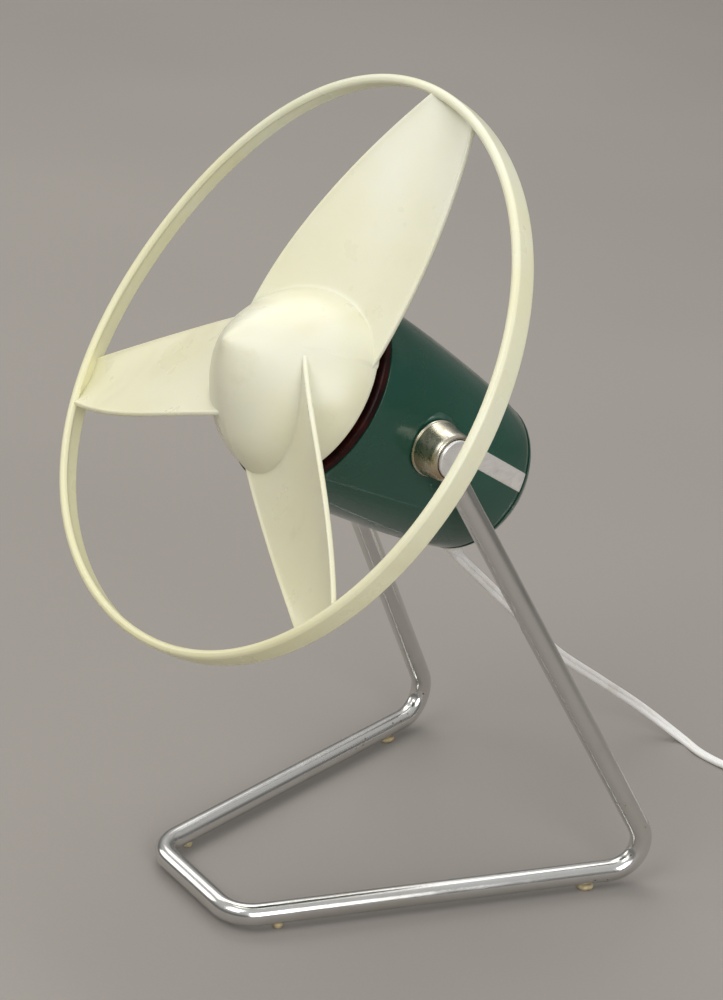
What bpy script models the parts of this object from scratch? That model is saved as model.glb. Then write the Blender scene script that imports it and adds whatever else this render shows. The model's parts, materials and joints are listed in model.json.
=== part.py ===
"""Desk fan: a shaded-pole motor in a tapered housing, tilting on a stand bent from one tube.

The soft three-bladed propeller carries its own guard ring, so the fan has no cage.
Metres, +Z up. The fan faces -Y at rest, nose up by TILT. The origin is on the floor, under the
middle of the fan without its cord.

Head pieces are written in the fan's own frame: x to the fan's right as seen from the front,
h up across the fan's axis and a forward along it. a is 0 in the plane of the tilt pivot.
"""

import math

import bmesh
import bpy
import numpy as np
from mathutils import Euler, Vector

# Clearances
GAP = 0.0003  # between pieces that touch
RUNNING_FIT = 0.00007  # radial, on every shaft and pin that turns

# Stand: one bent tube
TUBE_D = 0.010
TUBE_BORE_D = 0.008
PIVOT_RISE = 0.2087  # pivot above the base tube's centre line
REAR_HALF_WIDTH = 0.0901
REAR_Y = 0.1102  # rear corners, behind the pivot
FRONT_HALF_WIDTH = 0.0337
FRONT_Y = -0.0832
LEG_TOP_HALF_WIDTH = 0.0512  # leg centre line at pivot height
LEG_FORWARD = 0.0015  # leg centre line in front of the pivot axis
LEG_PAST_PIVOT = 0.0032
REAR_BEND_R = 0.019
FRONT_BEND_R = 0.017
FOOT_D = 0.008
FOOT_H = 0.0025
FOOT_STEM_D = 0.003
REAR_FOOT_BACK = 0.036  # from the rear corner along the side rail
FRONT_FOOT_BACK = 0.020  # from the front corner along the side rail

# Tilt pivot
TILT = math.radians(32.6)
PIVOT_A = 0.0018  # tilt axis in the fan's frame
PIVOT_H = 0.0032
BOSS_X = 0.0439
BOSS_R = 0.0130
INNER_BOSS_X = 0.0395
INNER_BOSS_R = 0.0090
FRICTION_WASHER_T = 0.0004
KNOB_R = 0.0125
KNOB_END_R = 0.0100
KNOB_OUTER_X = 0.0596
DISC_R = 0.0086
DISC_T = 0.0018
DISC_SEAT = 0.0007
BOLT_D = 0.004
BOLT_HEAD_R = 0.0035
BOLT_HEAD_T = 0.0025
SPRING_WASHER_T = 0.0010

# Housing and rear cap
HOUSING_PROFILE = [
    (0.0451, 0.0398),
    (0.0455, 0.0392),
    (0.0454, 0.0300),
    (0.0450, 0.0138),
    (0.0440, 0.0000),
    (0.0425, -0.0162),
    (0.0395, -0.0412),
    (0.0367, -0.0582),
    (0.0351, -0.0629),
]
WALL = 0.0020
CAP_PROFILE = [
    (0.0354, -0.0632),
    (0.0348, -0.0648),
    (0.0330, -0.0671),
    (0.0285, -0.0715),
    (0.0230, -0.0752),
    (0.0140, -0.0802),
    (0.0110, -0.0815),
    (0.0000, -0.0815),
]
SPIGOT_L = 0.0060
SPIGOT_T = 0.0018
CAP_SCREW_X = 0.0270
CAP_SCREW_D = 0.003
CAP_SCREW_HEAD_R = 0.0028
CAP_SCREW_HEAD_T = 0.0018
CAP_SCREW_SEAT_A = -0.0690
CAP_POST_R = 0.0045
CAP_POST_FRONT_A = -0.0610
SLOT_COUNT = 16
SLOT_W = 0.0026
SLOT_INNER_R = 0.0150
SLOT_OUTER_R = 0.0265
COVER_FLANGE_R = 0.0444
COVER_FLANGE_T = 0.0020
COVER_DEPTH = 0.0090
LABEL_H = 0.0083  # middle of the label strip above the fan axis
LABEL_W = 0.0085
LABEL_T = 0.0005
LABEL_FRONT_A = -0.0130
LABEL_REAR_A = -0.0620

# Cord exit, in the fan frame
GLAND_H = -0.0283
GLAND_A = -0.0643
GLAND_DROOP = math.radians(18)
GLAND_R = 0.0036
GLAND_TIP_R = 0.0030
GLAND_OUT = 0.0180
GLAND_FLANGE_R = 0.0044
GLAND_IN = 0.0090
CORD_D = 0.0050

# Switch in the middle of the rear cap
SWITCH_W = 0.0150
SWITCH_L = 0.0110
SWITCH_DEPTH = 0.0120
ROCKER_W = 0.0066
ROCKER_HALF_L = 0.0040
ROCKER_PIN_R = 0.0007
ROCKER_THROW = math.radians(9)

# Motor
CORE_HALF_WIDTH = 0.0280
CORE_TOP = 0.0200
CORE_BOTTOM = -0.0300
CORE_FRONT = 0.0120
CORE_REAR = -0.0080
BORE_R = 0.0136
AIR_GAP = 0.0005
LIMB_H = 0.0080
WINDOW_H = 0.0061
WINDOW_HALF_W = 0.0170
BOBBIN_WALL = 0.0010
BOBBIN_FLANGE = 0.0040
COIL_T = 0.0036
SCREW_X = 0.0215
SCREW_D = 0.0032
SCREW_HEAD_R = 0.0031
SCREW_HEAD_T = 0.0022
NUT_T = 0.0026
BRACKET_STANDOFF = 0.0097
BRACKET_T = 0.0030
BRACKET_HALF_H = 0.0060
BEARING_R = 0.0050
BEARING_L = 0.0072
BEARING_BOSS_R = 0.0080
SHAFT_R = 0.0030
SHAFT_FRONT_A = 0.0680
SHAFT_REAR_A = -0.0300
WASHER_T = 0.0010

# Propeller
RING_R = 0.1300
RING_FRONT_A = 0.0615
RING_BAND = 0.0100
RING_SKIRT_T = 0.0020
BEAD_T = 0.0041
HUB_PROFILE = [
    (0.0000, 0.0915),
    (0.0026, 0.0906),
    (0.0066, 0.0882),
    (0.0122, 0.0848),
    (0.0179, 0.0808),
    (0.0228, 0.0768),
    (0.0270, 0.0728),
    (0.0308, 0.0688),
    (0.0343, 0.0648),
    (0.0372, 0.0608),
    (0.0395, 0.0568),
    (0.0413, 0.0528),
    (0.0425, 0.0490),
    (0.0433, 0.0450),
]
HUB_WALL = 0.0020
HUB_BOSS_R = 0.0085
HUB_BOSS_REAR_A = 0.0480
SLEEVE_R = 0.0060
SLEEVE_BORE_R = SHAFT_R + GAP
BLADE_COUNT = 3
BLADE_T = 0.0018
BLADE_ROOT_CAMBER = 0.0045
BLADE_TIP_CAMBER = 0.0030
# Edge lines of a blade, as (x across it, distance out from the fan axis, a)
BLADE_FRONT_EDGE = [
    (-0.0226, 0.0147, 0.0708),
    (-0.0200, 0.0346, 0.0728),
    (-0.0104, 0.0844, 0.0692),
    (0.0044, 0.1259, 0.0604),
]
BLADE_REAR_EDGE = [
    (0.0384, 0.0204, 0.0466),
    (0.0370, 0.0765, 0.0486),
    (0.0305, 0.1223, 0.0538),
]

# Cord, measured from under the pivot: hand-chosen points from the strain relief to the coil
CORD_ROUTE = [
    (0.0000, 0.0644, 0.1262),
    (-0.0035, 0.0881, 0.1025),
    (-0.0094, 0.1211, 0.0708),
    (-0.0192, 0.1605, 0.0408),
    (-0.0220, 0.1916, 0.0179),
    (-0.0074, 0.2077, 0.0040),
    (0.0091, 0.2069, 0.0026),
    (0.0243, 0.2088, 0.0026),
]
CORD_END = (0.0420, 0.2149, 0.0026)
COIL_CENTRE = (0.0560, 0.2504)
COIL_MID_R = 0.0290
COIL_BUNDLE_R = 0.0075
PLUG_W = 0.0260
PLUG_T = 0.0150
PLUG_L = 0.0340
PIN_D = 0.0040
PIN_L = 0.0190
PIN_PITCH = 0.0190
PLUG_REAR = (0.0338, 0.2834)  # x and y of the end that the cord goes into

ROUND = 28


# ---------------------------------------------------------------- making solids


def material(name, colour, roughness, metallic=0.0):
    """A Principled BSDF material, made once for each name."""
    found = bpy.data.materials.get(name)
    if found:
        return found
    made = bpy.data.materials.new(name)
    made.use_nodes = True
    shader = made.node_tree.nodes["Principled BSDF"]
    shader.inputs["Base Color"].default_value = (*colour, 1.0)
    shader.inputs["Roughness"].default_value = roughness
    shader.inputs["Metallic"].default_value = metallic
    made.diffuse_color = (*colour, 1.0)
    return made


CHROME = ("chromed_steel", (0.80, 0.79, 0.77), 0.12, 1.0)
NICKEL = ("aged_nickel", (0.70, 0.66, 0.56), 0.25, 1.0)
STEEL = ("zinc_steel", (0.62, 0.62, 0.60), 0.35, 1.0)
GREEN = ("green_housing", (0.012, 0.062, 0.040), 0.22, 0.0)
BLACK = ("black_moulding", (0.012, 0.008, 0.008), 0.35, 0.0)
IVORY = ("ivory_moulding", (0.78, 0.76, 0.60), 0.38, 0.0)
FOOT = ("foot_rubber", (0.70, 0.58, 0.35), 0.55, 0.0)
IRON = ("core_steel", (0.20, 0.20, 0.21), 0.50, 1.0)
COPPER = ("copper", (0.72, 0.30, 0.16), 0.35, 1.0)
BRASS = ("brass", (0.78, 0.60, 0.28), 0.30, 1.0)
BRONZE = ("bronze", (0.55, 0.38, 0.18), 0.45, 1.0)
ZINC = ("die_cast", (0.55, 0.56, 0.57), 0.45, 1.0)
FIBRE = ("fibre", (0.16, 0.09, 0.05), 0.70, 0.0)
LABEL = ("label_metal", (0.72, 0.71, 0.68), 0.30, 1.0)
WHITE = ("white_vinyl", (0.82, 0.82, 0.80), 0.40, 0.0)


def empty(name, parent=None, location=(0, 0, 0), rotation=(0, 0, 0)):
    made = bpy.data.objects.new(name, None)
    bpy.context.scene.collection.objects.link(made)
    made.parent = parent
    made.location = location
    made.rotation_euler = Euler(rotation)
    return made


def place(name, mesh, finish, parent, location=(0, 0, 0), rotation=(0, 0, 0)):
    """Link a mesh as an object under its parent, smooth where its faces meet gently."""
    mesh.shade_smooth()
    mesh.set_sharp_from_angle(angle=math.radians(32))
    mesh.materials.append(material(*finish))
    made = bpy.data.objects.new(name, mesh)
    bpy.context.scene.collection.objects.link(made)
    made.parent = parent
    made.location = location
    made.rotation_euler = Euler(rotation)
    return made


def cleaned(name, points, faces):
    """A closed mesh with merged poles and outward faces."""
    mesh = bpy.data.meshes.new(name)
    mesh.from_pydata([tuple(map(float, p)) for p in points], [], faces)
    work = bmesh.new()
    work.from_mesh(mesh)
    bmesh.ops.remove_doubles(work, verts=work.verts, dist=1e-7)
    bmesh.ops.dissolve_degenerate(work, edges=work.edges, dist=1e-8)
    bmesh.ops.recalc_face_normals(work, faces=work.faces)
    work.to_mesh(mesh)
    work.free()
    return mesh


def lofted(name, loops, closed=False):
    """Bridge loops of equal point count; a closed loft joins the last loop to the first."""
    loops = np.asarray(loops, float)
    rings, count = loops.shape[:2]
    faces = []
    for i in range(rings if closed else rings - 1):
        here, there = i * count, (i + 1) % rings * count
        for k in range(count):
            after = (k + 1) % count
            faces.append((here + k, here + after, there + after, there + k))
    if not closed:
        if np.ptp(loops[0], axis=0).max() > 1e-6:
            faces.append(tuple(range(count)))
        if np.ptp(loops[-1], axis=0).max() > 1e-6:
            faces.append(tuple(range((rings - 1) * count, rings * count)))
    return cleaned(name, loops.reshape(-1, 3), faces)


def turned(name, profile, count=ROUND):
    """Turn (radius, height) points about Z: open if both ends are on the axis, else a closed ring."""
    angles = np.linspace(0, 2 * math.pi, count, endpoint=False)
    circle = np.stack([np.cos(angles), np.sin(angles), np.zeros(count)], axis=1)
    loops = [circle * r + (0, 0, z) for r, z in profile]
    return lofted(name, loops, closed=profile[0][0] > 0 or profile[-1][0] > 0)


def rod(name, radius, low, high, count=ROUND, bevel=0.0):
    """A solid cylinder along Z with optional bevelled ends."""
    profile = [(0, high), (radius - bevel, high), (radius, high - bevel)]
    profile += [(radius, low + bevel), (radius - bevel, low), (0, low)]
    if not bevel:
        profile = [(0, high), (radius, high), (radius, low), (0, low)]
    return turned(name, profile, count)


def tube(name, bore, radius, low, high, count=ROUND):
    return turned(name, [(radius, high), (radius, low), (bore, low), (bore, high)], count)


def prism(name, outline, low, high, along="h"):
    """Extrude an outline: (x, a) points along h, (x, h) points along a, or (h, a) points along x."""
    order = {"h": (0, 2, 1), "a": (0, 1, 2), "x": (2, 0, 1)}[along]
    loops = [[[(u, v, w)[i] for i in order] for u, v in outline] for w in (low, high)]
    return lofted(name, loops)


def block(name, low, high, bevel=0.0):
    """A box between two corners, with its edges bevelled."""
    (x0, y0, z0), (x1, y1, z1) = low, high
    mesh = lofted(name, [[(x0, y0, z), (x1, y0, z), (x1, y1, z), (x0, y1, z)] for z in (z0, z1)])
    if bevel:
        work = bmesh.new()
        work.from_mesh(mesh)
        bmesh.ops.bevel(work, geom=work.edges, offset=bevel, segments=2, affect="EDGES", profile=0.5)
        bmesh.ops.recalc_face_normals(work, faces=work.faces)
        work.to_mesh(mesh)
        work.free()
    return mesh


def rounded_rectangle(half_u, half_v, radius, steps=3):
    """Points of a rectangle with round corners, counter-clockwise."""
    points = []
    for cu, cv, start in ((1, 1, 0), (-1, 1, 90), (-1, -1, 180), (1, -1, 270)):
        for step in range(steps + 1):
            angle = math.radians(start + 90 * step / steps)
            u = cu * (half_u - radius) + radius * math.cos(angle)
            v = cv * (half_v - radius) + radius * math.sin(angle)
            points.append((u, v))
    return points


def combine(kind, target, tool):
    """A live exact Boolean; the tool stays in the file as a hidden guide."""
    tool.hide_render = True
    tool.display_type = "WIRE"
    change = target.modifiers.new(f"{kind.lower()}_{tool.name}", "BOOLEAN")
    change.operation = kind
    change.solver = "EXACT"
    change.object = tool


def cut(target, tool):
    combine("DIFFERENCE", target, tool)


def join(target, tool):
    combine("UNION", target, tool)


def smooth_line(points, step):
    """Points about a step apart on a Catmull-Rom curve through the given points."""
    knots = [Vector(p) for p in points]
    knots = [knots[0] * 2 - knots[1], *knots, knots[-1] * 2 - knots[-2]]
    line = []
    for before, start, end, after in zip(knots, knots[1:], knots[2:], knots[3:]):
        count = max(1, round((end - start).length / step))
        for i in range(count):
            t = i / count
            bend = before * 2 - start * 5 + end * 4 - after
            twist = start * 3 - before - end * 3 + after
            line.append((start * 2 + (end - before) * t + bend * t**2 + twist * t**3) / 2)
    line.append(knots[-2])
    return line


def cable(name, line, diameter, finish, parent, resolution=2):
    """A round cord along a polyline."""
    curve = bpy.data.curves.new(name, "CURVE")
    curve.dimensions = "3D"
    curve.bevel_depth = diameter / 2
    curve.bevel_resolution = resolution
    curve.use_fill_caps = True
    spline = curve.splines.new("POLY")
    spline.points.add(len(line) - 1)
    for point, at in zip(spline.points, line):
        point.co = (*at, 1.0)
    curve.materials.append(material(*finish))
    made = bpy.data.objects.new(name, curve)
    bpy.context.scene.collection.objects.link(made)
    made.parent = parent
    return made


# ---------------------------------------------------------------- stand


def rounded_path(corners, radii, steps):
    """A polyline whose inner corners are arcs of the given centre-line radii."""
    path = [Vector(corners[0])]
    for before, corner, after, radius in zip(corners, corners[1:], corners[2:], radii):
        here = Vector(corner)
        way_in = (Vector(before) - here).normalized()
        way_out = (Vector(after) - here).normalized()
        half = way_in.angle(way_out) / 2
        centre = here + (way_in + way_out).normalized() * radius / math.sin(half)
        start = here + way_in * radius / math.tan(half) - centre
        end = here + way_out * radius / math.tan(half) - centre
        sweep = start.angle(end)
        for i in range(steps + 1):
            share = i / steps
            turn = start * math.sin((1 - share) * sweep) + end * math.sin(share * sweep)
            path.append(centre + turn / math.sin(sweep))
    path.append(Vector(corners[-1]))
    return path


def along_path(path, radius, count):
    """Circles square to a path, carried along it without twist."""
    side = Vector((1, 0, 0))
    loops = []
    for i, point in enumerate(path):
        ahead = path[min(i + 1, len(path) - 1)] - point
        behind = point - path[max(i - 1, 0)]
        tangent = (ahead.normalized() + behind.normalized()).normalized()
        side = (side - tangent * side.dot(tangent)).normalized()
        other = tangent.cross(side)
        turn = [2 * math.pi * k / count for k in range(count)]
        loops.append([point + (side * math.cos(t) + other * math.sin(t)) * radius for t in turn])
    return loops


def leg_line(side):
    """The top end of a leg's centre line and its direction, downwards, about the pivot."""
    foot = Vector((side * REAR_HALF_WIDTH, REAR_Y, -PIVOT_RISE))
    at_pivot = Vector((side * LEG_TOP_HALF_WIDTH, -LEG_FORWARD, 0))
    down = (foot - at_pivot).normalized()
    return at_pivot - down * (LEG_PAST_PIVOT / -down.z), down


def make_stand(pivot_height, base):
    """The bent tube, its four feet and the holes they plug into. Returns the tube."""
    to_floor = -PIVOT_RISE
    corners = [
        leg_line(1)[0],
        (REAR_HALF_WIDTH, REAR_Y, to_floor),
        (FRONT_HALF_WIDTH, FRONT_Y, to_floor),
        (-FRONT_HALF_WIDTH, FRONT_Y, to_floor),
        (-REAR_HALF_WIDTH, REAR_Y, to_floor),
        leg_line(-1)[0],
    ]
    path = rounded_path(corners, (REAR_BEND_R, FRONT_BEND_R, FRONT_BEND_R, REAR_BEND_R), 7)
    outside = along_path(path, TUBE_D / 2, 12)
    inside = along_path(path, TUBE_BORE_D / 2, 12)
    mesh = lofted("stand_tube", outside + inside[::-1], closed=True)
    stand = place("stand_tube", mesh, CHROME, pivot_height)
    for side, word in ((1, "right"), (-1, "left")):
        rear = Vector((side * REAR_HALF_WIDTH, REAR_Y))
        front = Vector((side * FRONT_HALF_WIDTH, FRONT_Y))
        rail = (front - rear).normalized()
        spots = {"rear": rear + rail * REAR_FOOT_BACK, "front": front - rail * FRONT_FOOT_BACK}
        for end, spot in spots.items():
            make_foot(f"foot_{end}_{word}", stand, base, (spot.x, spot.y, 0))
    return stand


def make_foot(name, stand, base, spot):
    """A push-in button: a domed pad under the tube and a stem through its lower wall."""
    wall = (TUBE_D - TUBE_BORE_D) / 2
    pad_top = FOOT_H - GAP
    stem_top = FOOT_H + wall + 0.0012
    rim = FOOT_D / 2
    stem = FOOT_STEM_D / 2
    profile = [(0, stem_top), (stem * 0.7, stem_top), (stem, stem_top - 0.0005), (stem, pad_top)]
    profile += [(rim - 0.0006, pad_top), (rim, pad_top - 0.0005), (rim - 0.0003, 0.0007)]
    profile += [(rim - 0.0012, 0), (0, 0)]
    place(name, turned(name, profile, 16), FOOT, base, spot)
    hole = rod(f"hole_{name}", stem + GAP, FOOT_H - 0.002, FOOT_H + wall + 0.002, 16)
    cut(stand, place(f"hole_{name}", hole, FOOT, base, spot))


# ---------------------------------------------------------------- tilt pivot


def make_pivot(side, word, pivot_height, stand):
    """Knob, end disc, bolt and washers of one side; they stay with the stand."""
    out = empty(f"pivot_side_{word}", pivot_height, rotation=(0, side * math.pi / 2, 0))
    bolt_hole_r = BOLT_D / 2 + GAP
    washer_in = BOSS_X + GAP
    knob_in = washer_in + FRICTION_WASHER_T + GAP
    seat = KNOB_OUTER_X - DISC_SEAT
    bolt_tip = seat - 0.0014
    knob_profile = [
        (0, seat),
        (DISC_R + GAP, seat),
        (DISC_R + GAP, KNOB_OUTER_X),
        (KNOB_END_R - 0.0006, KNOB_OUTER_X),
        (KNOB_END_R, KNOB_OUTER_X - 0.0006),
        (KNOB_END_R + 0.0008, KNOB_OUTER_X - 0.0020),
        (KNOB_R - 0.0002, knob_in + 0.0016),
        (KNOB_R, knob_in + 0.0008),
        (KNOB_R, knob_in),
        (bolt_hole_r, knob_in),
        (bolt_hole_r, bolt_tip + GAP),
        (0, bolt_tip + GAP),
    ]
    knob = place(f"pivot_knob_{word}", turned("knob", knob_profile), NICKEL, out)
    top, down = leg_line(side)
    towards = (-down).to_track_quat("Z", "Y").to_euler()
    socket = rod("socket", TUBE_D / 2 + GAP, -0.030, GAP, 32)
    cut(knob, place(f"socket_{word}", socket, CHROME, pivot_height, top, towards))

    disc_in = seat + GAP
    disc_out = disc_in + DISC_T
    disc_profile = [(0, disc_out), (DISC_R - 0.0008, disc_out), (DISC_R, disc_out - 0.0006)]
    disc_profile += [(DISC_R, disc_in), (0, disc_in)]
    place(f"knob_disc_{word}", turned("disc", disc_profile), CHROME, out)

    washer = tube("washer", bolt_hole_r, KNOB_R - 0.0015, washer_in, washer_in + FRICTION_WASHER_T)
    place(f"friction_washer_{word}", washer, FIBRE, out)

    spring_out = INNER_BOSS_X - GAP
    spring_in = spring_out - SPRING_WASHER_T
    washer = tube("spring", bolt_hole_r, BOLT_HEAD_R + 0.0004, spring_in, spring_out, 20)
    place(f"spring_washer_{word}", washer, STEEL, out)

    head_out = spring_in - GAP
    head_in = head_out - BOLT_HEAD_T
    bolt_profile = [
        (0, bolt_tip),
        (BOLT_D / 2 - 0.0004, bolt_tip),
        (BOLT_D / 2, bolt_tip - 0.0005),
        (BOLT_D / 2, head_out),
        (BOLT_HEAD_R, head_out),
        (BOLT_HEAD_R, head_in + 0.0004),
        (BOLT_HEAD_R - 0.0005, head_in),
        (0, head_in),
    ]
    bolt = place(f"pivot_bolt_{word}", turned("bolt", bolt_profile, 20), STEEL, out)
    slot = block("slot", (-0.006, -0.0006, head_in - 0.001), (0.006, 0.0006, head_in + 0.0009))
    cut(bolt, place(f"bolt_slot_{word}", slot, STEEL, out))

    cross_hole = rod("cross", bolt_hole_r, knob_in, KNOB_OUTER_X, 32)
    cut(stand, place(f"leg_hole_{word}", cross_hole, STEEL, out))


def add_bosses(housing, pivot_height):
    """A boss on each side, faced flat outside, with a running hole for the pivot bolt."""
    step = INNER_BOSS_X + 0.0012
    profile = [(0, BOSS_X + 0.002), (BOSS_R, BOSS_X + 0.002), (BOSS_R, step)]
    profile += [(INNER_BOSS_R, step), (INNER_BOSS_R, INNER_BOSS_X), (0, INNER_BOSS_X)]
    sides = ((1, "right"), (-1, "left"))
    for side, word in sides:
        boss = turned("boss", profile)
        join(housing, place(f"boss_{word}", boss, GREEN, pivot_height, rotation=(0, side * math.pi / 2, 0)))
    for side, word in sides:
        flat = rod("spot_face", BOSS_R + 0.0006, BOSS_X, BOSS_X + 0.006)
        cut(housing, place(f"spot_face_{word}", flat, GREEN, pivot_height, rotation=(0, side * math.pi / 2, 0)))
    hole = rod("pivot_holes", BOLT_D / 2 + RUNNING_FIT, -BOSS_X - 0.002, BOSS_X + 0.002)
    cut(housing, place("pivot_holes", hole, GREEN, pivot_height, rotation=(0, math.pi / 2, 0)))


# ---------------------------------------------------------------- housing


def housing_radius(a):
    """Outer radius of the housing at a place along the fan axis."""
    radii, places = zip(*HOUSING_PROFILE[::-1])
    return float(np.interp(a, places, radii))


def make_housing(fan):
    """The tapered shell, open at both ends; bosses and holes for the pivot are added later."""
    inside = [(r - WALL, a) for r, a in HOUSING_PROFILE[::-2]]
    return place("motor_housing", turned("housing", HOUSING_PROFILE + inside, 40), GREEN, fan)


def make_front_cover(fan, housing_front):
    """Dark cover in the housing's mouth: a disc with a rim, the shaft hole and two screw posts."""
    face = housing_front + GAP + COVER_FLANGE_T
    flange_back = housing_front + GAP
    plug_r = HOUSING_PROFILE[0][0] - WALL - 2 * GAP
    back = housing_front - COVER_DEPTH
    floor = face - 0.0022
    profile = [
        (SHAFT_R + 0.0015, face),
        (COVER_FLANGE_R - 0.0006, face),
        (COVER_FLANGE_R, face - 0.0006),
        (COVER_FLANGE_R, flange_back),
        (plug_r, flange_back),
        (plug_r, back),
        (plug_r - 0.0018, back),
        (plug_r - 0.0018, floor),
        (SHAFT_R + 0.0015, floor),
    ]
    cover = place("front_cover", turned("cover", profile, 40), BLACK, fan)
    post_end = bracket_front() + GAP
    sides = ((1, "right"), (-1, "left"))
    for side, word in sides:
        post = rod("post", 0.0052, post_end, face - 0.0008)
        join(cover, place(f"post_{word}", post, BLACK, fan, (side * SCREW_X, 0, 0)))
    for side, word in sides:
        spot = (side * SCREW_X, 0, 0)
        seat = screw_seat()
        steps = [(0, face + 0.002), (SCREW_HEAD_R + GAP, face + 0.002), (SCREW_HEAD_R + GAP, seat)]
        steps += [(SCREW_D / 2 + GAP, seat), (SCREW_D / 2 + GAP, post_end - 0.002), (0, post_end - 0.002)]
        cut(cover, place(f"post_hole_{word}", turned("post_hole", steps, 20), BLACK, fan, spot))


def screw_seat():
    """Where the motor screws' heads bear, inside the front cover's posts."""
    return HOUSING_PROFILE[0][1] + GAP + COVER_FLANGE_T - 0.0030


def inset(profile, wall):
    """The profile moved inwards, square to itself, by a wall's thickness."""
    points = np.array(profile)
    along = np.gradient(points, axis=0)
    along /= np.linalg.norm(along, axis=1)[:, None]
    moved = points + np.stack([along[:, 1], -along[:, 0]], axis=1) * wall
    return [(max(float(r), 0.0), float(a)) for r, a in moved]


def make_rear_cap(fan):
    """Dished cap with a spigot, vent slots, two screw posts, the cord hole and the switch hole."""
    seam_r, seam_a = CAP_PROFILE[0]
    spigot_r = HOUSING_PROFILE[-1][0] - WALL - GAP
    spigot_front = seam_a + SPIGOT_L
    inner = inset(CAP_PROFILE, WALL)[2:-2]
    inner = [(r, a) for r, a in inner if r < spigot_r - SPIGOT_T - 0.0005]
    profile = CAP_PROFILE[::-1] + [(spigot_r, seam_a), (spigot_r, spigot_front)]
    profile += [(spigot_r - SPIGOT_T, spigot_front)] + inner + [(0, CAP_PROFILE[-1][1] + WALL)]
    cap = place("rear_cap", turned("cap", profile, 40), GREEN, fan)
    sides = ((1, "right"), (-1, "left"))
    for side, word in sides:
        join(cap, place(f"cap_post_{word}", make_cap_post(side), GREEN, fan))
    for side, word in sides:
        spot = (side * CAP_SCREW_X, 0, 0)
        hole_r = CAP_SCREW_D / 2 + GAP
        head_r = CAP_SCREW_HEAD_R + GAP
        past = CAP_POST_FRONT_A + 0.002
        steps = [(0, past), (hole_r, past), (hole_r, CAP_SCREW_SEAT_A)]
        steps += [(head_r, CAP_SCREW_SEAT_A), (head_r, -0.0830), (0, -0.0830)]
        cut(cap, place(f"cap_screw_hole_{word}", turned("cap_hole", steps, 20), GREEN, fan, spot))
    for number in range(SLOT_COUNT):
        angle = 2 * math.pi * (number + 0.5) / SLOT_COUNT
        if abs(math.sin(angle)) < 0.5 or math.sin(angle) < -0.9:
            continue
        slot = block("vent", (SLOT_INNER_R, -SLOT_W / 2, -0.085), (SLOT_OUTER_R, SLOT_W / 2, -0.065))
        cut(cap, place(f"vent_slot_{number}", slot, GREEN, fan, rotation=(0, 0, angle)))
    hole = rod("cord_hole", GLAND_R + GAP, -0.0070, 0.0120, 32)
    cut(cap, place("cord_hole", hole, GREEN, gland_frame(fan)))
    half_w, half_l = SWITCH_W / 2 + GAP, SWITCH_L / 2 + GAP
    hole = block("switch_hole", (-half_w, -half_l, -0.085), (half_w, half_l, -0.070))
    cut(cap, place("switch_hole", hole, GREEN, fan))


def make_cap_post(side):
    """A screw post whose rear end follows the cap, half-way into its wall."""
    radii, places = zip(*CAP_PROFILE[::-1])
    angles = np.linspace(0, 2 * math.pi, 24, endpoint=False)
    x = side * CAP_SCREW_X + CAP_POST_R * np.cos(angles)
    h = CAP_POST_R * np.sin(angles)
    rear = np.interp(np.hypot(x, h), radii, places) + WALL / 2
    return lofted("cap_post", [np.stack([x, h, a], axis=1) for a in (rear, np.full(24, CAP_POST_FRONT_A))])


def gland_frame(fan):
    """The cord's way out: +Z points outwards along the strain relief."""
    found = bpy.data.objects.get("cord_exit")
    if found:
        return found
    return empty("cord_exit", fan, (0, GLAND_H, GLAND_A), (math.pi - GLAND_DROOP, 0, 0))


def make_cord_entry(fan, exit_frame):
    """Strain relief, terminal block, the lead between them and the coil's two leads."""
    profile = [
        (0, GLAND_OUT),
        (GLAND_TIP_R - 0.0004, GLAND_OUT),
        (GLAND_TIP_R, GLAND_OUT - 0.0006),
        (GLAND_R, 0.0080),
        (GLAND_R, 0.0025 - GLAND_IN),
        (GLAND_FLANGE_R, 0.0025 - GLAND_IN),
        (GLAND_FLANGE_R, -GLAND_IN),
        (0, -GLAND_IN),
    ]
    place("strain_relief", turned("relief", profile, 20), WHITE, exit_frame)
    block_rear, block_front = -0.0440, -0.0360
    terminal = block("terminal", (-0.0080, -0.0359, block_rear), (0.0080, -0.0212, block_front), 0.0006)
    place("terminal_block", terminal, BLACK, fan)
    back = GLAND_IN + GAP
    start = (0, GLAND_H + math.sin(GLAND_DROOP) * back, GLAND_A + math.cos(GLAND_DROOP) * back)
    route = [start, (0, -0.0243, -0.0520), (0, -0.0238, -0.0480), (0, -0.0238, block_rear - GAP)]
    cable("mains_lead", smooth_line(route, 0.002), 0.0036, WHITE, fan)
    winding_rear = CORE_REAR - GAP - BOBBIN_WALL - GAP - COIL_T
    for side, word in ((1, "right"), (-1, "left")):
        points = [
            (side * 0.0045, -0.0320, block_front + GAP),
            (side * 0.0050, -0.0322, -0.0260),
            (side * 0.0070, -0.0300, winding_rear - GAP),
        ]
        cable(f"coil_lead_{word}", smooth_line(points, 0.004), 0.0016, COPPER, fan)


def make_label(fan):
    """A plain metal strip laid along the housing's right side."""
    between = [a for _, a in HOUSING_PROFILE if LABEL_REAR_A < a < LABEL_FRONT_A]
    places = [LABEL_FRONT_A, *between, LABEL_REAR_A]
    low, high = LABEL_H - LABEL_W / 2, LABEL_H + LABEL_W / 2
    loops = []
    for a in places:
        edge = [(h, math.sqrt(housing_radius(a) ** 2 - h**2) + GAP) for h in np.linspace(low, high, 4)]
        under = [(x, h, a) for h, x in edge]
        over = [(x + LABEL_T, h, a) for h, x in edge[::-1]]
        loops.append(under + over)
    place("label_strip", lofted("label", loops), LABEL, fan)


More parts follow.
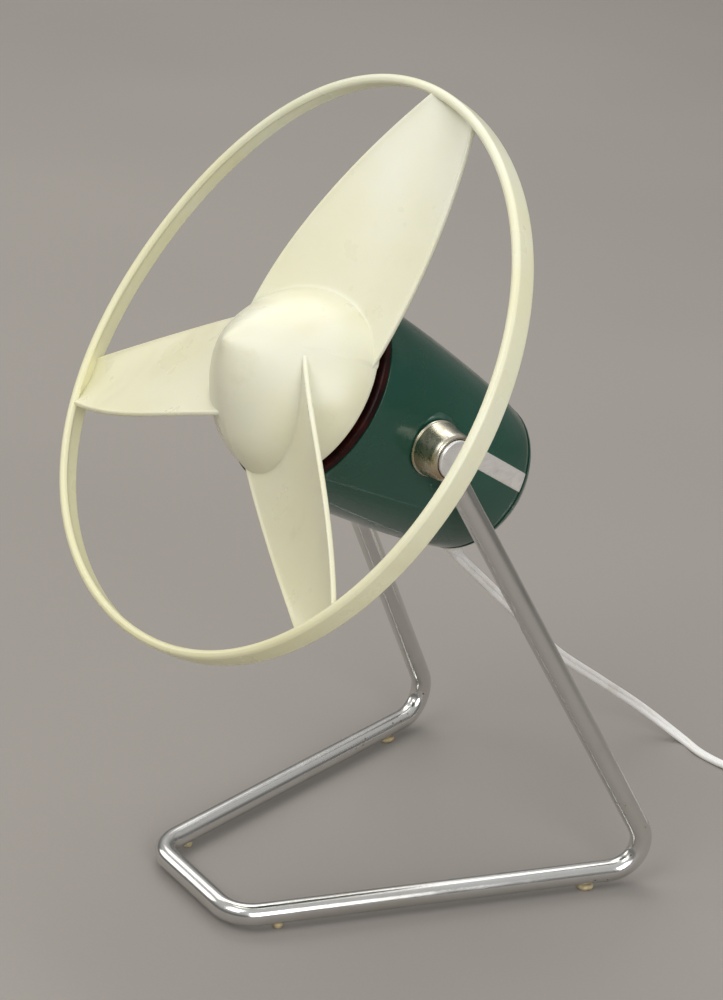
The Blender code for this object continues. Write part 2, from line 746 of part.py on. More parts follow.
def make_switch(fan):
    """Switch body in the rear cap and its rocker, which turns on two short pins."""
    face = CAP_PROFILE[-1][1] - GAP
    rear = face - 0.0012
    half_w, half_l = SWITCH_W / 2, SWITCH_L / 2
    body = block("switch", (-half_w, -half_l, rear), (half_w, half_l, rear + SWITCH_DEPTH))
    body = place("switch_body", body, BLACK, fan)
    flange = block("flange", (-0.0088, -0.0068, rear - 0.0008), (0.0088, 0.0068, face), 0.0004)
    join(body, place("switch_flange", flange, BLACK, fan))
    pocket_w, pocket_l = ROCKER_W / 2 + GAP, ROCKER_HALF_L + 0.0007
    pocket = block("pocket", (-pocket_w, -pocket_l, rear - 0.004), (pocket_w, pocket_l, rear + 0.0050))
    cut(body, place("switch_pocket", pocket, BLACK, fan))
    hinge = empty("rocker_hinge", fan, (0, 0, rear + 0.0006), (ROCKER_THROW, 0, 0))
    across = (0, math.pi / 2, 0)
    holes = rod("pin_hole", ROCKER_PIN_R + RUNNING_FIT, -0.0051, 0.0051, 20)
    cut(body, place("rocker_pin_hole", holes, BLACK, hinge, rotation=across))
    half = ROCKER_HALF_L
    outline = [(-half, 0.0006), (-half, -0.0026), (0, -0.0014), (half, -0.0026), (half, 0.0006)]
    outline += [(0.0018, 0.0024), (-0.0018, 0.0024)]
    rocker = prism("rocker", outline, -ROCKER_W / 2, ROCKER_W / 2, "x")
    rocker = place("switch_rocker", rocker, IVORY, hinge)
    pin = rod("rocker_pin", ROCKER_PIN_R, -0.0048, 0.0048, 20)
    join(rocker, place("rocker_pin", pin, IVORY, hinge, rotation=across))


# ---------------------------------------------------------------- motor


def bracket_front():
    return CORE_FRONT + GAP + BRACKET_STANDOFF + BRACKET_T


def bracket_rear():
    return CORE_REAR - GAP - BRACKET_STANDOFF - BRACKET_T


def make_stator(fan):
    """Laminated core with its bore, coil window, screw holes and shading slots."""
    outline = [
        (-CORE_HALF_WIDTH, CORE_BOTTOM + 0.006),
        (-CORE_HALF_WIDTH + 0.006, CORE_BOTTOM),
        (CORE_HALF_WIDTH - 0.006, CORE_BOTTOM),
        (CORE_HALF_WIDTH, CORE_BOTTOM + 0.006),
        (CORE_HALF_WIDTH, CORE_TOP - 0.006),
        (CORE_HALF_WIDTH - 0.006, CORE_TOP),
        (-CORE_HALF_WIDTH + 0.006, CORE_TOP),
        (-CORE_HALF_WIDTH, CORE_TOP - 0.006),
    ]
    core = place("stator_core", prism("core", outline, CORE_REAR, CORE_FRONT, "a"), IRON, fan)
    low, high = CORE_REAR - 0.002, CORE_FRONT + 0.002
    cut(core, place("stator_bore", rod("bore", BORE_R, low, high, 48), IRON, fan))
    limb_top = CORE_BOTTOM + LIMB_H
    window = block("window", (-WINDOW_HALF_W, limb_top, low), (WINDOW_HALF_W, limb_top + WINDOW_H, high))
    cut(core, place("coil_window", window, IRON, fan))
    for side, word in ((1, "right"), (-1, "left")):
        hole = rod("core_hole", SCREW_D / 2 + GAP, low, high, 20)
        cut(core, place(f"core_hole_{word}", hole, IRON, fan, (side * SCREW_X, 0, 0)))
        make_shading_ring(side, word, core, fan)


def make_shading_ring(side, word, core, fan):
    """A copper loop through a slot in the core and round the core's side."""
    middle = 0.0140 if side < 0 else -0.0105
    strap_h, slot_in, slot_out = 0.0020, 0.0170, 0.0190
    low = (slot_in - GAP, -strap_h - GAP, CORE_REAR - 0.002)
    high = (slot_out + GAP, strap_h + GAP, CORE_FRONT + 0.002)
    slot = block("slot", low, high)
    turn = (0, 0, 0 if side > 0 else math.pi)
    cut(core, place(f"shading_slot_{word}", slot, IRON, fan, (0, middle, 0), turn))
    outer_x = CORE_HALF_WIDTH + GAP
    strap = slot_out - slot_in
    rear, front = CORE_REAR - GAP, CORE_FRONT + GAP
    over = 0.0015
    outer = [(slot_in, rear - over), (outer_x + strap, rear - over)]
    outer += [(outer_x + strap, front + over), (slot_in, front + over)]
    inner = [(slot_out, rear), (outer_x, rear), (outer_x, front), (slot_out, front)]
    stack = ((outer, -strap_h), (outer, strap_h), (inner, strap_h), (inner, -strap_h))
    loops = [[(x, h, a) for x, a in loop] for loop, h in stack]
    place(f"shading_ring_{word}", lofted("shading", loops, closed=True), COPPER, fan, (0, middle, 0), turn)


def spool(name, sections):
    """A closed ring about the x axis; each section is (x, half height, half depth, corner radius)."""
    loops = []
    for x, half_h, half_a, radius in sections:
        loops.append([(x, u, v) for u, v in rounded_rectangle(half_h, half_a, radius)])
    return lofted(name, loops, closed=True)


def make_coil(fan):
    """Bobbin round the core's lower limb, and its winding."""
    middle = (0, CORE_BOTTOM + LIMB_H / 2, (CORE_FRONT + CORE_REAR) / 2)
    hole_h, hole_a = LIMB_H / 2 + GAP, (CORE_FRONT - CORE_REAR) / 2 + GAP
    barrel_h, barrel_a = hole_h + BOBBIN_WALL, hole_a + BOBBIN_WALL
    rim_h, rim_a = barrel_h + BOBBIN_FLANGE, barrel_a + BOBBIN_FLANGE
    end = WINDOW_HALF_W - 0.0007
    neck = end - BOBBIN_WALL
    sections = [
        (-end, rim_h, rim_a, 0.001),
        (-neck, rim_h, rim_a, 0.001),
        (-neck, barrel_h, barrel_a, 0.001),
        (neck, barrel_h, barrel_a, 0.001),
        (neck, rim_h, rim_a, 0.001),
        (end, rim_h, rim_a, 0.001),
        (end, hole_h, hole_a, 0.0001),
        (-end, hole_h, hole_a, 0.0001),
    ]
    place("coil_bobbin", spool("bobbin", sections), WHITE, fan, middle)
    inner_h, inner_a = barrel_h + GAP, barrel_a + GAP
    wound = neck - GAP
    sections = [
        (-wound, inner_h + COIL_T, inner_a + COIL_T, 0.0025),
        (wound, inner_h + COIL_T, inner_a + COIL_T, 0.0025),
        (wound, inner_h, inner_a, 0.001),
        (-wound, inner_h, inner_a, 0.001),
    ]
    place("coil_winding", spool("winding", sections), COPPER, fan, middle)


def make_bracket(fan, word, core_face, way, half_length):
    """A bridge across one face of the core, with the bearing's boss in its middle."""
    leg_in, leg_out = SCREW_X - 0.0045, SCREW_X + 0.0045
    near = core_face + way * GAP
    under = near + way * BRACKET_STANDOFF
    over = under + way * BRACKET_T
    outline = [(-leg_out, near), (-leg_out, under), (-half_length, under), (-half_length, over)]
    outline += [(half_length, over), (half_length, under), (leg_out, under), (leg_out, near)]
    outline += [(leg_in, near), (leg_in, under), (-leg_in, under), (-leg_in, near)]
    if half_length <= leg_out:
        outline = [(-leg_out, near), (-leg_out, over), (leg_out, over), (leg_out, near)]
        outline += [(leg_in, near), (leg_in, under), (-leg_in, under), (-leg_in, near)]
    bracket = prism("bracket", outline, -BRACKET_HALF_H, BRACKET_HALF_H, "h")
    bracket = place(f"{word}_bracket", bracket, ZINC, fan)
    bearing_middle = over - way * 0.0002
    low, high = bearing_middle - 0.0040, bearing_middle + 0.0040
    join(bracket, place(f"{word}_boss", rod("boss", BEARING_BOSS_R, low, high), ZINC, fan))
    hole = rod("bearing_hole", BEARING_R + GAP, low - 0.002, high + 0.002)
    cut(bracket, place(f"{word}_bearing_hole", hole, ZINC, fan))
    low, high = min(near, over) - 0.002, max(near, over) + 0.002
    for side in (1, -1):
        hole = rod("screw_hole", SCREW_D / 2 + GAP, low, high, 20)
        cut(bracket, place(f"{word}_screw_hole_{side}", hole, ZINC, fan, (side * SCREW_X, 0, 0)))
        if half_length > leg_out:
            hole = rod("ear_hole", CAP_SCREW_D / 2 + GAP, low, high, 20)
            cut(bracket, place(f"{word}_ear_hole_{side}", hole, ZINC, fan, (side * CAP_SCREW_X, 0, 0)))
    ends = bearing_middle - BEARING_L / 2, bearing_middle + BEARING_L / 2
    bush = tube("bush", SHAFT_R + RUNNING_FIT, BEARING_R, *ends)
    place(f"{word}_bearing", bush, BRONZE, fan)


def make_screws(fan):
    """Two long motor screws with nuts, and the two screws of the rear cap."""
    nut_front = bracket_rear() - GAP
    nut_rear = nut_front - NUT_T
    head_back = screw_seat() + GAP
    for side, word in ((1, "right"), (-1, "left")):
        spot = (side * SCREW_X, 0, 0)
        radius = SCREW_D / 2
        end, rim = head_back + SCREW_HEAD_T, SCREW_HEAD_R
        profile = [(0, end), (rim - 0.0006, end), (rim, end - 0.0006), (rim, head_back), (radius, head_back)]
        profile += [(radius, nut_rear - 0.0010), (radius - 0.0005, nut_rear - 0.0015), (0, nut_rear - 0.0015)]
        place(f"motor_screw_{word}", turned("screw", profile, 20), STEEL, fan, spot)
        nut = tube("nut", radius + GAP, 0.0034, nut_rear, nut_front, 6)
        place(f"motor_nut_{word}", nut, STEEL, fan, spot)
        head = CAP_SCREW_SEAT_A - GAP
        spot = (side * CAP_SCREW_X, 0, 0)
        tip = bracket_rear() + BRACKET_T + 0.0010
        radius = CAP_SCREW_D / 2
        end, rim = head - CAP_SCREW_HEAD_T, CAP_SCREW_HEAD_R
        profile = [(0, tip), (radius - 0.0005, tip), (radius, tip - 0.0006), (radius, head), (rim, head)]
        profile += [(rim, end + 0.0005), (rim - 0.0006, end), (0, end)]
        place(f"cap_screw_{word}", turned("cap_screw", profile, 20), STEEL, fan, spot)


# ---------------------------------------------------------------- rotor


def hub_radius(a):
    """Outer radius of the hub at a place along the fan axis."""
    radii, places = zip(*HUB_PROFILE[::-1])
    return np.interp(a, places, radii)


def through(points, out):
    """The polynomial through (x, out, a) points, read at distances out from the axis."""
    points = np.array(points)
    total = 0
    for i, point in enumerate(points):
        others = np.delete(points[:, 1], i)
        weight = np.prod([(out - other) / (point[1] - other) for other in others], axis=0)
        total = total + weight[..., None] * point
    return total


def blade_point(out, share):
    """A point of a blade's middle surface: edge to edge in a line, hollowed towards the front."""
    front = through(BLADE_FRONT_EDGE, out)
    rear = through(BLADE_REAR_EDGE, out)
    point = front + (rear - front) * share[..., None]
    reach = np.clip((out - 0.020) / 0.105, 0, 1)
    camber = BLADE_ROOT_CAMBER + (BLADE_TIP_CAMBER - BLADE_ROOT_CAMBER) * reach
    point[..., 2] -= camber * 4 * share * (1 - share)
    return point


def distance_out(share, target, low, high):
    """How far out the blade's surface meets a target radius, found by halving."""
    low, high = np.full_like(share, low), np.full_like(share, high)
    for _ in range(40):
        middle = (low + high) / 2
        point = blade_point(middle, share)
        short = np.hypot(point[..., 0], point[..., 1]) < target(point[..., 2])
        low, high = np.where(short, middle, low), np.where(short, high, middle)
    return low


def make_blade(rotor, number):
    """One blade from inside the hub's wall to inside the ring's band."""
    share = np.linspace(0, 1, 8)
    root = distance_out(share, lambda a: hub_radius(a) - HUB_WALL * 0.55, 0.005, 0.060)
    tip = distance_out(share, lambda a: np.full_like(a, RING_R - RING_SKIRT_T * 0.5), 0.080, 0.140)
    steps = np.linspace(0, 1, 11)[:, None]
    out = root + (tip - root) * steps
    middle = blade_point(out, np.broadcast_to(share, out.shape))
    normal = np.cross(np.gradient(middle, axis=0), np.gradient(middle, axis=1))
    normal /= np.linalg.norm(normal, axis=2)[..., None]
    above = middle + normal * BLADE_T / 2
    below = middle - normal * BLADE_T / 2
    loops = np.concatenate([above, below[:, ::-1]], axis=1)
    turn = (0, 0, 2 * math.pi * number / BLADE_COUNT)
    return place(f"blade_{number}", lofted("blade", loops), IVORY, rotor, rotation=turn)


def make_propeller(rotor):
    """Hub, blades and guard ring in one moulding."""
    inner = inset(HUB_PROFILE, HUB_WALL)[::-1]
    inner = [(r, a) for r, a in inner if r > HUB_BOSS_R + 0.002]
    rear_a = HUB_PROFILE[-1][1]
    inner[0] = (HUB_PROFILE[-1][0] - HUB_WALL, rear_a)
    bore_end = SHAFT_FRONT_A + 0.0020
    profile = HUB_PROFILE + inner + [(HUB_BOSS_R, inner[-1][1] + 0.0015), (HUB_BOSS_R, HUB_BOSS_REAR_A)]
    profile += [(SLEEVE_R + GAP, HUB_BOSS_REAR_A), (SLEEVE_R + GAP, bore_end), (0, bore_end)]
    propeller = place("propeller", turned("propeller", profile, 40), IVORY, rotor)
    for number in range(BLADE_COUNT):
        join(propeller, make_blade(rotor, number))
    rear = RING_FRONT_A - RING_BAND
    inner_r = RING_R - RING_SKIRT_T
    bead = RING_R - BEAD_T
    ring = [
        (RING_R, rear),
        (RING_R, RING_FRONT_A - 0.0016),
        (RING_R - 0.0007, RING_FRONT_A - 0.0004),
        (RING_R - BEAD_T / 2, RING_FRONT_A),
        (bead + 0.0006, RING_FRONT_A - 0.0006),
        (bead, RING_FRONT_A - 0.0019),
        (bead + 0.0006, RING_FRONT_A - 0.0033),
        (inner_r, RING_FRONT_A - 0.0042),
        (inner_r, rear),
    ]
    join(propeller, place("guard_ring", turned("ring", ring, 60), IVORY, rotor))


def make_shaft(rotor):
    """Shaft, squirrel cage, thrust washers and the brass sleeve that the hub is fixed to."""
    shaft = rod("shaft", SHAFT_R, SHAFT_REAR_A, SHAFT_FRONT_A, 32, 0.0006)
    place("motor_shaft", shaft, STEEL, rotor)
    cage_r, bore = BORE_R - AIR_GAP, SHAFT_R + GAP
    profile = [
        (cage_r, CORE_FRONT),
        (cage_r, CORE_REAR),
        (cage_r - 0.0015, CORE_REAR - 0.0030),
        (bore, CORE_REAR - 0.0030),
        (bore, CORE_FRONT + 0.0030),
        (cage_r - 0.0015, CORE_FRONT + 0.0030),
    ]
    place("rotor_cage", turned("cage", profile, 32), IRON, rotor)
    bearing_out = BEARING_L / 2 + 0.0002
    for way, word, over in ((1, "front", bracket_front()), (-1, "rear", bracket_rear())):
        far = over - way * (bearing_out + GAP)
        low, high = sorted((far, far - way * WASHER_T))
        place(f"thrust_washer_{word}", tube("thrust", bore, 0.0048, low, high, 20), FIBRE, rotor)
    sleeve_rear, sleeve_front = HUB_BOSS_REAR_A - 0.0030, SHAFT_FRONT_A + 0.0014
    mesh = tube("sleeve", SLEEVE_BORE_R, SLEEVE_R, sleeve_rear, sleeve_front)
    sleeve = place("hub_sleeve", mesh, BRASS, rotor)
    across = (0, math.pi / 2, 0)
    screw_at = (0, 0, sleeve_rear + 0.0015)
    hole = rod("grub_hole", 0.0008 + GAP, 0, 0.010, 20)
    cut(sleeve, place("grub_hole", hole, BRASS, rotor, screw_at, across))
    grub = rod("grub", 0.0008, SHAFT_R + GAP, SLEEVE_R + 0.0004, 20)
    place("grub_screw", grub, STEEL, rotor, screw_at, across)


# ---------------------------------------------------------------- cord


def make_cord(base, start):
    """The mains cord's free stretch, its coil, the coil's tie and the plug."""
    line = smooth_line([start, *CORD_ROUTE, CORD_END], CORD_D * 2.2)
    cable("power_cord", line, CORD_D, WHITE, base)
    centre = (*COIL_CENTRE, COIL_BUNDLE_R + 0.0002)
    turns = [2 * math.pi * k / 10 for k in range(10)]
    ring = [(COIL_MID_R + COIL_BUNDLE_R * math.cos(t), COIL_BUNDLE_R * math.sin(t)) for t in turns]
    place("cord_coil", turned("coil", ring, 30), WHITE, base, centre)
    make_tie(base, centre)
    make_plug(base)


def make_tie(base, centre):
    """A band round the coil's bundle, open below so that it stays off the floor."""
    inner, outer = COIL_BUNDLE_R + GAP, COIL_BUNDLE_R + 0.0012
    angles = [math.radians(-35 + 250 * k / 16) for k in range(17)]
    arc = [(math.cos(t) * inner, math.sin(t) * inner) for t in angles]
    arc += [(math.cos(t) * outer, math.sin(t) * outer) for t in angles[::-1]]
    loops = [[(COIL_MID_R + u, y, v) for u, v in arc] for y in (-0.0030, 0.0030)]
    place("coil_tie", lofted("tie", loops), BLACK, base, centre, (0, 0, math.radians(20)))


def make_plug(base):
    """A plain two-pin plug lying flat beside the coil, pins towards -X."""
    z = PLUG_T / 2 + 0.0002
    parent = empty("plug", base, (*PLUG_REAR, z), (0, -math.pi / 2, 0))
    sizes = [(0, 0.0036, 0.0036), (0.008, 0.0042, 0.0042), (0.012, 0.0070, 0.0058), (0.018, 0.0108, 0.0072)]
    sizes += [(0.024, PLUG_W / 2, PLUG_T / 2), (PLUG_L - 0.0012, PLUG_W / 2, PLUG_T / 2)]
    sizes += [(PLUG_L, PLUG_W / 2 - 0.0012, PLUG_T / 2 - 0.0012)]
    loops = []
    for a, half_w, half_t in sizes:
        corner = min(half_w, half_t) * 0.8
        loops.append([(v, u, a) for u, v in rounded_rectangle(half_w, half_t, corner, 4)])
    body = place("plug_body", lofted("plug", loops), WHITE, parent)
    for side, word in ((1, "a"), (-1, "b")):
        spot = (0, side * PIN_PITCH / 2, 0)
        sunk = PLUG_L - 0.006
        socket = rod("socket", PIN_D / 2 + GAP, sunk, PLUG_L + 0.002, 20)
        cut(body, place(f"pin_socket_{word}", socket, WHITE, parent, spot))
        pin = rod("pin", PIN_D / 2, sunk + GAP, PLUG_L + PIN_L, 24, 0.0007)
        place(f"plug_pin_{word}", pin, BRASS, parent, spot)


# ---------------------------------------------------------------- assembly


def lowest_and_highest():
    """The box of every finished solid so far."""
    bpy.context.view_layer.update()
    graph = bpy.context.evaluated_depsgraph_get()
    points = []
    for obj in bpy.context.scene.objects:
        if obj.type == "EMPTY" or obj.hide_render:
            continue
        solid = obj.evaluated_get(graph)
        mesh = solid.to_mesh()
        points += [solid.matrix_world @ v.co for v in mesh.vertices]
        solid.to_mesh_clear()
    points = np.array(points)
    return points.min(axis=0), points.max(axis=0)


def main():
    for old in list(bpy.data.objects):
        bpy.data.objects.remove(old)
    base = empty("desk_fan")
    pivot_height = empty("pivot_height", base, (0, 0, FOOT_H + TUBE_D / 2 + PIVOT_RISE))
    head = empty("head", pivot_height, rotation=(-TILT, 0, 0))
    fan = empty("fan_axis", head, (0, PIVOT_A, -PIVOT_H), (math.pi / 2, 0, 0))
    rotor = empty("rotor", fan)

    stand = make_stand(pivot_height, base)
    housing = make_housing(fan)
    for side, word in ((1, "right"), (-1, "left")):
        make_pivot(side, word, pivot_height, stand)
    add_bosses(housing, pivot_height)
    make_front_cover(fan, HOUSING_PROFILE[0][1])
    make_rear_cap(fan)
    exit_frame = gland_frame(fan)
    make_cord_entry(fan, exit_frame)
    make_label(fan)
    make_switch(fan)
    make_stator(fan)
    make_coil(fan)
    make_bracket(fan, "front", CORE_FRONT, 1, SCREW_X + 0.0045)
    make_bracket(fan, "rear", CORE_REAR, -1, CAP_SCREW_X + 0.0035)
    make_screws(fan)
    make_propeller(rotor)
    make_shaft(rotor)

    low, high = lowest_and_highest()
    make_cord(base, exit_frame.matrix_world @ Vector((0, 0, GLAND_OUT + GAP)))
    base.location = (-(low[0] + high[0]) / 2, -(low[1] + high[1]) / 2, -low[2])


main()
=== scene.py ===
"""Desk fan with a ringed soft propeller: the finished look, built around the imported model."""

import json
import math

import bmesh
import bpy
import numpy as np
from bpy.props import FloatProperty, FloatVectorProperty, IntProperty, PointerProperty
from mathutils import Matrix, Vector


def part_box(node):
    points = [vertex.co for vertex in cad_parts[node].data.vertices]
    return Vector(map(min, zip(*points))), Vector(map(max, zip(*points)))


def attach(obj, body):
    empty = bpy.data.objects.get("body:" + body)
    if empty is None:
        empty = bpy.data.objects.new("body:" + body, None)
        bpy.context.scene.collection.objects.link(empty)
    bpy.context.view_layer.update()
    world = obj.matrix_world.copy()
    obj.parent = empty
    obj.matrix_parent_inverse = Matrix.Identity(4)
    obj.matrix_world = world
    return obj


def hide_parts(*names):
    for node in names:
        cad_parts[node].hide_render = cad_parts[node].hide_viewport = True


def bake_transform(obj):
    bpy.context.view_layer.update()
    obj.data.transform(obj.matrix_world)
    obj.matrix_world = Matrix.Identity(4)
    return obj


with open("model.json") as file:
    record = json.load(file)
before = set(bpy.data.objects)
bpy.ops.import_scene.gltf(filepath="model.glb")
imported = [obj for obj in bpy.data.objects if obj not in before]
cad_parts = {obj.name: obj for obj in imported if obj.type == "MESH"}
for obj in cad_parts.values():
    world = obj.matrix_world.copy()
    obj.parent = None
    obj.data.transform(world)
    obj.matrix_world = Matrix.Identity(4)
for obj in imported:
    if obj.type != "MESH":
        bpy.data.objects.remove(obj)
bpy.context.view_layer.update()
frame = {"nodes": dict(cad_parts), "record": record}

bl_info = {
    "name": "Desk Fan",
    "version": (1, 0, 0),
    "blender": (4, 5, 0),
    "location": "View3D > Sidebar > Desk Fan",
    "description": "Builds a tilting desk fan with a soft ringed propeller",
    "category": "Object",
}

JOINTS = {joint["name"]: joint for joint in frame["record"]["behaviour"]["joints"]}
PIVOT = np.array(JOINTS["head_tilt"]["pos_m"], float)
FAN_CENTRE = np.array(JOINTS["rotor_spin"]["pos_m"], float)
FORWARD = np.array(JOINTS["rotor_spin"]["axis"], float)
ACROSS = np.array([1.0, 0.0, 0.0])
UP = np.cross(FORWARD, ACROSS)
TILT = math.atan2(FORWARD[2], -FORWARD[1])
MM = 0.001


# ---------------------------------------------------------------- numbers and surfaces


def fan_space(points):
    """Points (x, h, a) about the fan axis, in mm, to the scene: centre + x across + h up + a forward."""
    points = np.asarray(points, float) * MM
    place = points[..., :1] * ACROSS + points[..., 1:2] * UP + points[..., 2:] * FORWARD
    return FAN_CENTRE + place


def side_space(points, side):
    """Points turned about z, in mm, laid out along the tilt axis to one side."""
    points = np.asarray(points, float) * MM
    return PIVOT + np.stack([side * points[..., 2], points[..., 1], points[..., 0]], axis=-1)


def stand_space(points):
    """Points in mm from the floor under the pivot."""
    return np.asarray(points, float) * MM + [0, PIVOT[1], 0]


GLAND_H = -28.3
GLAND_A = -64.3
GLAND_DROOP = math.radians(18)


def gland_space(points):
    """Points (x, y, s) about the cord's way out of the cap, in mm: s runs backwards and droops."""
    x, y, s = np.moveaxis(np.asarray(points, float), -1, 0)
    c, d = math.cos(GLAND_DROOP), math.sin(GLAND_DROOP)
    return fan_space(np.stack([x, GLAND_H - s * d + y * c, GLAND_A - s * c - y * d], axis=-1))


def full_turn(count):
    """Even angles once round."""
    return np.linspace(0, math.tau, count, endpoint=False)


def squared(wide, high, power, count):
    """A closed oval, squarer as its power falls: signed powers of a cosine and a sine."""
    t = full_turn(count)
    c, s = np.cos(t), np.sin(t)
    return wide * np.sign(c) * np.abs(c) ** power, high * np.sign(s) * np.abs(s) ** power


def eased(share):
    """A share from 0 to 1 that starts and ends gently."""
    return share * share * (3 - 2 * share)


def smooth(points, step):
    """Catmull-Rom curve through points, resampled at an even step: cubic blend of four neighbours."""
    points = np.asarray(points, float)
    first, last = 2 * points[:1] - points[1:2], 2 * points[-1:] - points[-2:-1]
    knots = np.concatenate([first, points, last])
    t = np.linspace(0, 1, 24, endpoint=False)[:, None, None]
    p0, p1, p2, p3 = knots[:-3], knots[1:-2], knots[2:-1], knots[3:]
    curve = 2 * p1 + (p2 - p0) * t + (2 * p0 - 5 * p1 + 4 * p2 - p3) * t**2
    curve = (curve + (3 * p1 - p0 - 3 * p2 + p3) * t**3) / 2
    line = curve.transpose(1, 0, 2).reshape(-1, points.shape[1])
    line = np.concatenate([line, knots[-2:-1]])
    return even(line, step)


def even(line, step):
    """A polyline read again at equal steps of its own length."""
    reach = np.concatenate([[0], np.cumsum(np.linalg.norm(np.diff(line, axis=0), axis=1))])
    count = max(2, int(round(reach[-1] / step)) + 1)
    at = np.linspace(0, reach[-1], count)
    return np.stack([np.interp(at, reach, line[:, i]) for i in range(line.shape[1])], axis=1)


def rounded(profile, radius, steps=5):
    """A profile whose inner corners become small arcs: quadratic blends from side to side."""
    profile = np.asarray(profile, float)
    radius = np.broadcast_to(np.asarray(radius, float), len(profile))
    made = [profile[:1]]
    for i in range(1, len(profile) - 1):
        before, here, after = profile[i - 1 : i + 2]
        reach_in, reach_out = np.linalg.norm(before - here), np.linalg.norm(after - here)
        cut = min(radius[i], reach_in * 0.49, reach_out * 0.49)
        start = here + (before - here) / reach_in * cut
        end = here + (after - here) / reach_out * cut
        t = np.linspace(0, 1, steps)[:, None]
        made.append((1 - t) ** 2 * start + 2 * t * (1 - t) * here + t**2 * end)
    made.append(profile[-1:])
    return np.concatenate(made)


def turn(profile, count=96):
    """Surface of revolution: (radius, height) swept round z, as a grid of profile by angle."""
    profile = np.asarray(profile, float)
    angle = full_turn(count)
    x = profile[:, :1] * np.cos(angle)
    y = profile[:, :1] * np.sin(angle)
    z = np.broadcast_to(profile[:, 1:], x.shape)
    return np.stack([x, y, z], axis=-1)


def directions(line):
    ahead = np.gradient(line, axis=0)
    return ahead / np.linalg.norm(ahead, axis=1)[:, None]


def sweep(line, section, upright):
    """A section (u across, v up) carried along a line: u is square to the line and to upright."""
    ahead = directions(line)
    across = np.cross(ahead, upright)
    across /= np.linalg.norm(across, axis=1)[:, None]
    over = np.cross(across, ahead)
    section = np.asarray(section, float)
    return line[:, None] + section[:, :1] * across[:, None] + section[:, 1:] * over[:, None]


def carried(line, radius, count):
    """A round tube along a line, its sections turned the least from one to the next."""
    ahead = directions(line)
    side = np.cross(ahead[0], [0.0, 0.0, 1.0])
    sides = []
    for direction in ahead:
        side = side - direction * side.dot(direction)
        side = side / np.linalg.norm(side)
        sides.append(side)
    sides = np.array(sides)
    other = np.cross(ahead, sides)
    angle = full_turn(count)[:, None]
    return line[:, None] + radius * (np.cos(angle) * sides[:, None] + np.sin(angle) * other[:, None])


def grid_faces(rows, columns, closed_rows, closed_columns):
    """Quads between neighbouring rows and columns of a grid, as an index array."""
    i = np.arange(rows if closed_rows else rows - 1)[:, None]
    j = np.arange(columns if closed_columns else columns - 1)[None]
    after_i, after_j = (i + 1) % rows, (j + 1) % columns
    corners = [i * columns + j, i * columns + after_j, after_i * columns + after_j, after_i * columns + j]
    return np.stack([np.broadcast_to(c, (len(i), j.shape[1])) for c in corners], axis=-1).reshape(-1, 4)


def surface(name, grids, closed_rows=False, closed_columns=True, caps=True, sharp=38):
    """One mesh object from one or more grids, with merged poles, closed ends and outward faces."""
    if not isinstance(grids, list):
        grids = [grids]
    points, faces, start = [], [], 0
    for grid in grids:
        rows, columns = grid.shape[:2]
        points.append(grid.reshape(-1, 3))
        faces += (grid_faces(rows, columns, closed_rows, closed_columns) + start).tolist()
        if caps and closed_columns and not closed_rows:
            for row in (0, rows - 1):
                if np.ptp(grid[row], axis=0).max() > 1e-6:
                    faces.append((np.arange(columns) + start + row * columns).tolist())
        start += rows * columns
    mesh = bpy.data.meshes.new(name)
    mesh.from_pydata(np.concatenate(points).tolist(), [], faces)
    made = bpy.data.objects.new(name, mesh)
    bpy.context.scene.collection.objects.link(made)
    clean(made)
    shade_mesh(mesh, sharp)
    return made


def shade_mesh(mesh, sharp):
    mesh.shade_smooth()
    mesh.set_sharp_from_angle(angle=math.radians(sharp))


def clean(piece):
    """Merge doubled points and turn every face outwards."""
    work = bmesh.new()
    work.from_mesh(piece.data)
    bmesh.ops.remove_doubles(work, verts=work.verts, dist=2e-6)
    bmesh.ops.dissolve_degenerate(work, edges=work.edges, dist=1e-7)
    bmesh.ops.recalc_face_normals(work, faces=work.faces)
    work.to_mesh(piece.data)
    work.free()


def carve(piece, tool):
    """Cut a tool out of a piece at once, and drop the tool."""
    change = piece.modifiers.new("carve", "BOOLEAN")
    change.solver = "EXACT"
    change.object = tool
    graph = bpy.context.evaluated_depsgraph_get()
    mesh = bpy.data.meshes.new_from_object(piece.evaluated_get(graph))
    piece.modifiers.clear()
    piece.data = mesh
    mesh.name = piece.name
    bpy.data.objects.remove(tool)
    shade_mesh(mesh, 38)


def finish_piece(piece, body, slot, finish, *nodes):
    """Give a piece its material and its body, and hide the solids that it stands for; the record slot is
    not used.
    """
    piece.data.materials.clear()
    piece.data.materials.append(finish_named(finish))
    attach(piece, body)
    if nodes:
        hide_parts(*nodes)
    return piece


def dress(finish, *nodes):
    """Give carried-over solids a proper material, both of a pair where a name ends with an underscore."""
    for name in nodes:
        for side in ("left", "right") if name.endswith("_") else ("",):
            solid = frame["nodes"][name + side]
            solid.data.materials.clear()
            solid.data.materials.append(finish_named(finish))


# ---------------------------------------------------------------- materials


